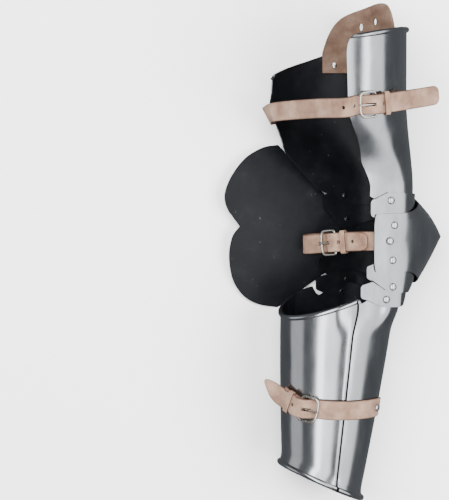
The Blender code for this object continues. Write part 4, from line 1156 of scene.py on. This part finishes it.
def half_turn(place, along, normal, radius, way):
    """Points from below a buckle's bar round to above it: ahead of the bar for way 1, behind it for -1."""
    path = []
    for k in range(TURN_STEPS + 1):
        angle = math.radians(way * 180 * k / TURN_STEPS - 90)
        rise = BAR_LIFT + radius * math.sin(angle)
        path.append(place + along * (radius * math.cos(angle)) + normal * rise)
    return path


def tongue_lifts(root, bar, end):
    """The tongue's height by length along the line: flat, up over the bar, through the keeper, then free."""
    return [
        (root, LAYER),
        (bar - 15.0, LAYER),
        (bar - 12.0, LAYER + 1.0),
        (bar - 3.5, OVER_BAR - 0.3),
        (bar, OVER_BAR),
        (bar + 3.5, OVER_BAR - 0.7),
        (bar + 8.5, IN_KEEPER + 0.1),
        (bar + KEEPER_AT, IN_KEEPER),
        (bar + KEEPER_AT + 3.5, IN_KEEPER + 0.1),
        (bar + KEEPER_AT + 8.0, TAIL_LIFT),
        (end, TAIL_LIFT),
    ]


def add_strap(name, body, line, bar, root, end, buckle_root, tip, root_holes=(), buckle_holes=(), punched=()):
    """One strap: tongue, short buckle strap folded round the bar, keeper, wire frame and prong.

    bar, root, end and buckle_root are lengths along the line; tip gives the tongue's width share by the
    distance from its end, and punched the distances of its spare holes from the bar.
    """
    place, along, width, normal = line.frame(bar)
    axes = (along, width, normal)
    lifts = tongue_lifts(root, bar, end)
    steps = spread(root, end, STRAP_STEP)
    steps = steps[:-1] + spread(steps[-2], end, TIP_STEP)[1:]
    holes = [slot_cutter(f"cut_{name}_slot", place, axes, TONGUE_SLOT)]
    for k, reach in enumerate(punched):
        spot, _, _, out = line.frame(bar + reach)
        lift = table(lifts, bar + reach)
        holes.append(hole_cutter(f"cut_{name}_punch_{k}", spot + out * lift, out, LEATHER, PUNCH))
    add_piece(f"{name}_tongue", body,
              ribbon([line.at(s, table(lifts, s)) for s in steps], [line.frame(s)[2] for s in steps],
                     STRAP_WIDTH, LEATHER, [max(TIP_LEAST, table(tip, end - s)) for s in steps]),
              HIDE, [*holes, *root_holes])

    below = list(reversed(spread(bar + 2.5, buckle_root, STRAP_STEP)))
    fold = [line.at(s, LAYER) for s in below]
    fold += half_turn(place, along, normal, FOLD_RADIUS, -1)
    fold.append(place + along * 1.6 + normal * (BAR_LIFT + FOLD_RADIUS - 0.2))
    fold.append(place + along * 3.0 + normal * (BAR_LIFT + FOLD_RADIUS - 0.9))
    fold.append(line.at(bar + 4.1, LAYER + LEATHER + SEAT + 1.2))
    fold.append(line.at(bar + FOLD_BACK, LAYER + LEATHER + SEAT))
    fold_box = slot_cutter(f"cut_{name}_fold", place, axes, FOLD_SLOT)
    widths = [line.frame(s)[2] for s in below] + [width] * (len(fold) - len(below))
    add_piece(f"{name}_buckle_strap", body, ribbon(fold, widths, STRAP_WIDTH, LEATHER), HIDE,
              [fold_box, *buckle_holes])

    half = BUCKLE_WIDTH / 2
    corners = [(0.0, 0.0), (0.0, half - 3.0), (-0.6, half - 0.9), (-2.6, half), (-BUCKLE_LENGTH * 0.66, half)]
    for k in range(1, 8):
        angle = math.pi * k / 8
        corners.append((-BUCKLE_LENGTH * (0.7 + 0.3 * math.sin(angle)),
                        half * math.copysign(abs(math.cos(angle)) ** FRAME_ROUND, math.cos(angle))))
    corners += [(a, -b) for a, b in reversed(corners[:5])]
    loop = smooth_path([Vector((a, b, 0.0)) for a, b in corners], FRAME_STEP)[:-1]
    path = [place + along * p.x + width * p.y + normal * BAR_LIFT for p in loop]
    add_piece(f"{name}_buckle", body, tube_along(path, WIRE, WIRE_SIDES, normal, closed=True), NICKEL)

    path = half_turn(place, along, normal, WIRE + SEAT + PRONG, 1)
    for reach in PRONG_MARKS:
        path.append(place + along * reach + normal * (PRONG_LIFT + PRONG_DROP * reach))
    add_piece(f"{name}_prong", body, tube_along(path, PRONG, PRONG_SIDES, width), NICKEL)

    place, along, width, normal = line.frame(bar + KEEPER_AT)
    inner = (STRAP_WIDTH / 2 + KEEPER_ROOM, IN_KEEPER - LEATHER / 2 - SEAT * 1.5,
             IN_KEEPER + LEATHER / 2 + SEAT * 2.5)
    add_piece(f"{name}_keeper", body, keeper_mesh(place, (along, width, normal), inner), HIDE)


def keeper_mesh(place, axes, inner):
    """A narrow closed leather band round the strap: half width and the heights of its inner side."""
    side, low, high = inner
    round_by = KEEPER_LEATHER * 1.4
    middle = (low + high) / 2
    loop = []
    for sx, sz in ((1, 1), (-1, 1), (-1, -1), (1, -1)):
        start = math.atan2(sz, sx) - math.pi / 4
        for k in range(5):
            angle = start + math.pi / 8 * k
            loop.append((sx * (side + KEEPER_LEATHER - round_by) + round_by * math.cos(angle),
                         sz * ((high - low) / 2 + KEEPER_LEATHER - round_by) + round_by * math.sin(angle)))
    mesh = bmesh.new()
    layer = mesh.verts.layers.float.new("edge")
    half = KEEPER_WIDTH / 2
    right = [(half * 0.9, 0.0), (half, -0.25), (half, KEEPER_LEATHER * -0.8), (half * 0.8, -KEEPER_LEATHER)]
    section = [(0.0, 0.0)] + right + [(-a, depth) for a, depth in reversed(right)]
    rings = []
    for i, (b, h) in enumerate(loop):
        ahead = Vector(loop[(i + 1) % len(loop)])
        behind = Vector(loop[i - 1])
        run = (ahead - behind).normalized()
        out = Vector((run.y, -run.x))
        ring = []
        for a, depth in section:
            x, z = b + out.x * depth, h + out.y * depth
            vert = mesh.verts.new(place + axes[0] * a + axes[1] * x + axes[2] * (middle + z))
            vert[layer] = 1.0 if abs(a) > half * 0.95 else 0.2
            ring.append(vert)
        rings.append(ring)
    join_rings(mesh, rings, closed=True)
    return mesh


def spread(low, high, step):
    count = max(1, round(abs(high - low) / step))
    return [lerp(low, high, k / count) for k in range(count + 1)]


def surface_normal(point, angle, height):
    """Outward normal of a plate given by point(angle, height)."""
    across = point(angle - 1.0, height) - point(angle + 1.0, height)
    along = point(angle, height + 1.0) - point(angle, height - 1.0)
    return across.cross(along).normalized()


def riveted(name, body, base, normal, grip, lift=0.0):
    """A rivet set on a surface; returns the cutter of its hole. Its tail clears the plate's curve."""
    grip += CURVE_ROOM
    hole = hole_cutter(f"cut_{name}", base, normal, lift + grip + HOLE_SPARE)
    add_rivet(name, body, base + normal * lift, normal, grip + lift)
    return hole


# The upper strap's line: heights up the arm at its root, the crossing, the bar and its end
UPPER_STRAP_ROOT_ANGLE = -106.0
UPPER_STRAP_HEIGHTS = (130.0, 134.5, 144.0, 151.0)
UPPER_BAR_ANGLE = 88.0
UPPER_TAIL = 84.0
# Its points along the outer wall, angle and distance off it; over the open side, back, height above the
# crossing's and side; at the inner edge, angle, drop and shift; on the inner wall, angle; and at its free
# end, distance and drop. UPPER_SLOPE is its rise by degree along the inner wall.
UPPER_WALL = ((-92.0, 0.2), (UPPER_STRAP_ROOT_ANGLE, 0.2), (-120.0, 0.3), (-131.0, 0.5), (-139.0, 1.1))
UPPER_CROSSING = ((-97.0, -1.0, -28.0), (-91.5, 2.0, 2.0), (-80.5, 4.5, 37.0))
UPPER_LANDING = (112.0, 3.5, Vector((-1.0, 0.0, 1.4)))
UPPER_INNER_WALL = (104.0, 96.0, UPPER_BAR_ANGLE, 82.0)
UPPER_FREE = ((22.0, 1.5), (45.0, 4.5), (68.0, 8.5))
UPPER_SLOPE = 0.08
# The lower strap's line
LOWER_STRAP_ROOT_ANGLE = 46.0
LOWER_BAR_ANGLE = 147.0
LOWER_STRAP_HEIGHTS = (-173.0, -172.0, -168.0, -160.0, -140.0)
LOWER_STRAP_OFF = 0.35
# How far each strap runs on past its root rivet and past its buckle strap's rivet
ROOT_END = 9.0
BUCKLE_END = 7.0
ELBOW_BUCKLE_END = 9.0
ELBOW_TAIL = 38.0
# Distances of the spare holes from the bar, on each strap
UPPER_HOLES = (-33.0, -23.0, 6.5)
ELBOW_HOLES = (-22.0, 6.5, 24.0)
LOWER_HOLES = (6.5,)
# The elbow strap's line, from the outer leg across the crook to the inner leg: back, up, side
ELBOW_STRAP_LINE = [
    (-14.0, -6.0, -45.6), (-25.0, -6.0, -45.6), (-36.0, -6.0, -45.6), (-44.0, -6.0, -45.2),
    (-52.0, -6.0, -41.0), (-55.0, -6.0, -32.0), (-50.0, -4.0, -14.0), (-41.0, -1.0, 8.0), (-31.5, 1.0, 28.0),
    (-25.0, 1.8, 39.5), (-16.0, 1.8, 45.0), (-4.0, 1.8, 45.6), (6.0, 1.8, 45.6),
]


def surface_mark(point, angle, height, out=0.0):
    """A strap line's point on a plate, or out above it, with the plate's slope there."""
    slope = (point(angle, height + 1.0) - point(angle, height - 1.0)).normalized()
    return point(angle, height) + surface_normal(point, angle, height) * out, slope


# Width shares by the distance from a strap's end
BLUNT_TIP = [(0.0, 0.45), (0.5, 0.62), (1.5, 0.78), (3.0, 0.89), (5.0, 0.96), (8.0, 1.0), (10.0, 1.0)]
POINTED_TIP = [(0.0, 0.12), (1.5, 0.26), (5.0, 0.44), (11.0, 0.68), (18.0, 0.88), (26.0, 1.0), (28.0, 1.0)]


def plan_upper_strap():
    """The upper strap's line: along the outer wall, across the arm, onto the inner side, then free."""
    start, cross, bar_height, end_height = UPPER_STRAP_HEIGHTS
    marks = []
    for angle, out in UPPER_WALL:
        marks.append(surface_mark(upper_point, angle, start, out))
    for x, rise, z in UPPER_CROSSING:
        marks.append((Vector((x, cross + rise, z)), UP))
    angle, drop, off = UPPER_LANDING
    marks.append((upper_point(angle, bar_height - drop) + off, UP))
    for angle in UPPER_INNER_WALL:
        marks.append(surface_mark(upper_point, angle, bar_height + (UPPER_BAR_ANGLE - angle) * UPPER_SLOPE))
    last, slope = marks[-1]
    ahead = last - marks[-2][0]
    ahead = Vector((ahead.x, 0.0, ahead.z)).normalized()
    for reach, drop in UPPER_FREE:
        rise = (end_height - bar_height) * reach / UPPER_FREE[-1][0]
        marks.append((last + ahead * reach + Vector((0.0, rise, -drop)), slope))
    return BaseLine(marks, 1.0)


def plan_lower_strap():
    """The lower strap's line round the inner side of the lower cannon, ending in a free point."""
    start, mid, bar_height, keeper_height, tip_height = LOWER_STRAP_HEIGHTS
    marks = []
    for angle, height in ((36.0, start), (LOWER_STRAP_ROOT_ANGLE, start), (70.0, mid - 0.5), (95.0, mid),
                          (120.0, mid + 1.5), (LOWER_BAR_ANGLE, bar_height), (160.0, keeper_height - 3.0),
                          (173.0, keeper_height + 1.0)):
        marks.append(surface_mark(lower_point, angle, height, LOWER_STRAP_OFF))
    last, slope = marks[-1]
    marks.append((last + Vector((-5.0, 5.5, -8.0)), slope))
    marks.append((last + Vector((-14.0, tip_height - keeper_height - 3.0, -16.0)), slope))
    return BaseLine(marks, -1.0)


def plate_strap(word, body, line, spots, buckle_grip, tail, tip, punched):
    """A strap riveted to plates at both ends; returns the holes of its root's and its buckle's rivet.

    spots are the surface points at its root and under its bar; it runs on tail past the bar, or, with no
    tail, to the line's end.
    """
    root, bar = (line.nearest(spot) for spot in spots)
    holes = []
    for end, at, grip in (("strap", root, SHEET), ("buckle", bar + RIVET_AT, buckle_grip)):
        place, _, _, normal = line.frame(at)
        holes.append(riveted(f"rivet_{word}_{end}", body, place, normal, grip, STRAP_TOP))
    stop = bar + tail if tail else line.lengths[-1]
    add_strap(f"{word}_strap", body, line, bar, root - ROOT_END, stop, bar + RIVET_AT + BUCKLE_END, tip,
              holes[:1], holes[1:], punched)
    return holes


def add_straps():
    """The three straps with their rivets; returns the holes that their rivets need in the plates."""
    spots = (upper_point(UPPER_STRAP_ROOT_ANGLE, UPPER_STRAP_HEIGHTS[0]),
             upper_point(UPPER_BAR_ANGLE, UPPER_STRAP_HEIGHTS[2]))
    upper = plate_strap("upper", "upper_cannon", plan_upper_strap(), spots, SHEET * 2, UPPER_TAIL, BLUNT_TIP,
                        UPPER_HOLES)

    line = BaseLine([(Vector(p), UP) for p in ELBOW_STRAP_LINE], 1.0)
    root = line.nearest(Vector(ELBOW_STRAP_LINE[1]))
    bar = line.nearest(Vector(ELBOW_STRAP_LINE[7]))
    buckle_root = line.nearest(Vector(ELBOW_STRAP_LINE[-2]))
    strap_holes = []
    for word, at, side in (("elbow_strap", root, -1.0), ("elbow_buckle", buckle_root, 1.0)):
        place = line.at(at, 0.0)
        cup = half_width(0) + (wing_side(place.x, place.y) if side < 0 else 0.0)
        base = Vector((place.x, place.y, side * cup))
        strap_holes.append(riveted(f"rivet_{word}", "couter", base, Vector((0, 0, side)),
                                   cup - abs(place.z), CURVE_ROOM))
    add_strap("elbow_strap", "couter", line, bar, root - ROOT_END, bar + ELBOW_TAIL,
              buckle_root + ELBOW_BUCKLE_END, BLUNT_TIP, strap_holes[:1], strap_holes[1:], ELBOW_HOLES)

    spots = (lower_point(LOWER_STRAP_ROOT_ANGLE, LOWER_STRAP_HEIGHTS[0]),
             lower_point(LOWER_BAR_ANGLE, LOWER_STRAP_HEIGHTS[2]))
    lower = plate_strap("lower", "lower_cannon", plan_lower_strap(), spots, SHEET + NEST, None, POINTED_TIP,
                        LOWER_HOLES)
    return {"upper_cannon": upper, "couter": strap_holes,
            "lower_cannon_back": lower[:1], "lower_cannon_front": lower[1:]}


def add_lap_rivets(holes):
    """Rivets that join the front and back plates of the lower cannon along their hidden lap."""
    angle = HINGE_ANGLE + HINGE_LAP / 2
    for k, share in enumerate(LAP_RIVET_SHARES, 1):
        height = lerp(LOWER_END + ROLL_WIDTH, LOWER_RIM - ROLL_WIDTH, share)
        normal = surface_normal(lower_point, angle, height)
        hole = riveted(f"rivet_lap_{k}", "lower_cannon", lower_point(angle, height), normal, SHEET * 2 + GAP)
        holes["lower_cannon_back"].append(hole)
        holes["lower_cannon_front"].append(hole)


def add_tab_rivets(holes):
    """Rivets through the arming tab; returns the tab's holes: the rivets' and the two for its lace."""
    made = []
    for k, angle in enumerate(TAB_RIVET_ANGLES, 1):
        height = UPPER_TOP * table(RIM_BY_ANGLE, angle) - ROLL_WIDTH - TAB_RIVET_DROP
        normal = surface_normal(upper_point, angle, height)
        made.append(riveted(f"rivet_tab_{k}", "upper_cannon", upper_point(angle, height), normal,
                            SHEET + GAP + TAB_ROOM + TAB_LEATHER))
    holes["upper_cannon"] += made
    laces = []
    for k, angle in enumerate(LACE_ANGLES, 1):
        out = Vector((math.cos(math.radians(angle)), 0.0, math.sin(math.radians(angle))))
        base = Vector((UPPER_CENTRE, UPPER_TOP * table(RIM_BY_ANGLE, angle) + LACE_RISE, 0.0))
        base += out * (UPPER_RADIUS - SHEET - GAP - TAB_ROOM - TAB_LEATHER / 2)
        reach = TAB_LEATHER * 2
        hole = tube_along([base + out * reach, base - out * reach], LACE_HOLE, RIVET_SIDES, UP)
        for vert in hole.verts:
            vert.co.y = base.y + (vert.co.y - base.y) * LACE_TALL / LACE_HOLE
        laces.append(cutter(f"cut_lace_{k}", hole))
    return made + laces


# Softboxes along the arm that only mirror in metal: angle from straight up towards the elbow's side,
# distance, size across and along the arm, and radiance; they aim at AIM_HEIGHT over the middle
SOFTBOXES = {
    "key_left": (-6.0, 1.6, (1.2, 3.2), 3.3),
    "strip_left": (-19.0, 1.5, (0.34, 2.4), 4.0),
    "key_right": (50.0, 1.6, (1.1, 3.0), 2.0),
    "strip_right": (36.0, 1.5, (0.3, 1.3), 4.2),
    "fill_left": (-82.0, 1.6, (1.1, 1.4), 0.8),
}
AIM_HEIGHT = 0.08
# Lights that only matt surfaces take: place and power
ROOM_LIGHTS = {"room_left": ((-0.9, 0.5, 1.8), 150.0), "room_right": ((1.1, -0.3, 1.7), 125.0)}
ROOM_SIZE = (1.6, 1.6)
WORLD_COLOUR = (0.90, 0.95, 1.0, 1.0)
WORLD_STRENGTH = 0.17
FLOOR_TONES = (0.86, 0.88)
FLOOR_HALF = 4.0


def area_light(name, spot, aim, size, power, mirrored):
    """A rectangular light that either shows in polished metal or lights the matt surfaces."""
    data = bpy.data.lights.new(name, "AREA")
    data.shape = "RECTANGLE"
    data.size, data.size_y = size
    data.energy = power
    light = bpy.data.objects.new(name, data)
    light.location = spot
    away = (Vector(spot) - Vector(aim)).normalized()
    side = UP.cross(away).normalized()
    light.rotation_mode = "QUATERNION"
    light.rotation_quaternion = Matrix((side, away.cross(side), away)).transposed().to_quaternion()
    light.visible_diffuse = not mirrored
    light.visible_glossy = mirrored
    bpy.context.collection.objects.link(light)


def add_lights():
    for name, (angle, distance, size, radiance) in SOFTBOXES.items():
        rad = math.radians(angle)
        spot = (distance * math.sin(rad), 0.0, distance * math.cos(rad) + AIM_HEIGHT)
        area_light(name, spot, (0.0, 0.0, AIM_HEIGHT), size, radiance * math.pi * size[0] * size[1], True)
    for name, (spot, power) in ROOM_LIGHTS.items():
        area_light(name, spot, (0.0, 0.0, 0.0), ROOM_SIZE, power, False)


def add_floor():
    """A pale matt floor; polished metal doesn't mirror it."""
    made, tree, shader = new_material("floor")
    fibre = place_noise(tree, 30.0)
    drive(tree, shader, "Base Color", fibre, [(0.0, FLOOR_TONES[0]), (1.0, FLOOR_TONES[1])])
    shader.inputs["Roughness"].default_value = 0.9
    shader.inputs["Specular IOR Level"].default_value = 0.1
    mesh = bmesh.new()
    bmesh.ops.create_grid(mesh, x_segments=2, y_segments=2, size=FLOOR_HALF)
    floor = new_object("floor", mesh, [made], Matrix())
    floor.visible_glossy = False


def add_world():
    world = bpy.data.worlds.new("studio")
    world.use_nodes = True
    back = world.node_tree.nodes["Background"]
    back.inputs["Color"].default_value = WORLD_COLOUR
    back.inputs["Strength"].default_value = WORLD_STRENGTH
    bpy.context.scene.world = world


# The photograph's frame: its size, the arm's origin in it, and the size of a pixel there
PHOTO = (449, 500)
ORIGIN_PIXEL = (367.9, 239.0)
PIXEL_MM = 1.05
VIEW_TURN = math.radians(27.0)
VIEW_TILT = math.radians(5.0)
VIEW_DISTANCE = 2.6
SENSOR = 24.0
CLIP_END = 20.0


def add_camera():
    """Look along the photograph's direction, with the arm's origin at its own pixel."""
    turn = LAY.to_3x3().normalized()
    back = Vector((-math.sin(VIEW_TURN) * math.cos(VIEW_TILT), math.sin(VIEW_TILT),
                   math.cos(VIEW_TURN) * math.cos(VIEW_TILT)))
    back = (turn @ back).normalized()
    up = turn @ UP
    up = (up - back * up.dot(back)).normalized()
    right = up.cross(back)
    aim = (LAY @ Vector((0.0, 0.0, 0.0)) + right * ((PHOTO[0] / 2 - ORIGIN_PIXEL[0]) * PIXEL_MM * MM)
           - up * ((PHOTO[1] / 2 - ORIGIN_PIXEL[1]) * PIXEL_MM * MM))
    data = bpy.data.cameras.new("camera")
    data.sensor_fit = "VERTICAL"
    data.sensor_height = SENSOR
    data.lens = SENSOR * VIEW_DISTANCE / (PHOTO[1] * PIXEL_MM * MM)
    data.clip_end = CLIP_END
    camera = bpy.data.objects.new("camera", data)
    camera.rotation_mode = "QUATERNION"
    camera.rotation_quaternion = Matrix((right, up, back)).transposed().to_quaternion()
    camera.location = aim + back * VIEW_DISTANCE
    bpy.context.collection.objects.link(camera)
    bpy.context.scene.camera = camera


add_plates(add_straps())
for used in CUTTERS:
    bpy.data.objects.remove(used, do_unlink=True)
add_floor()
add_world()
add_lights()
add_camera()
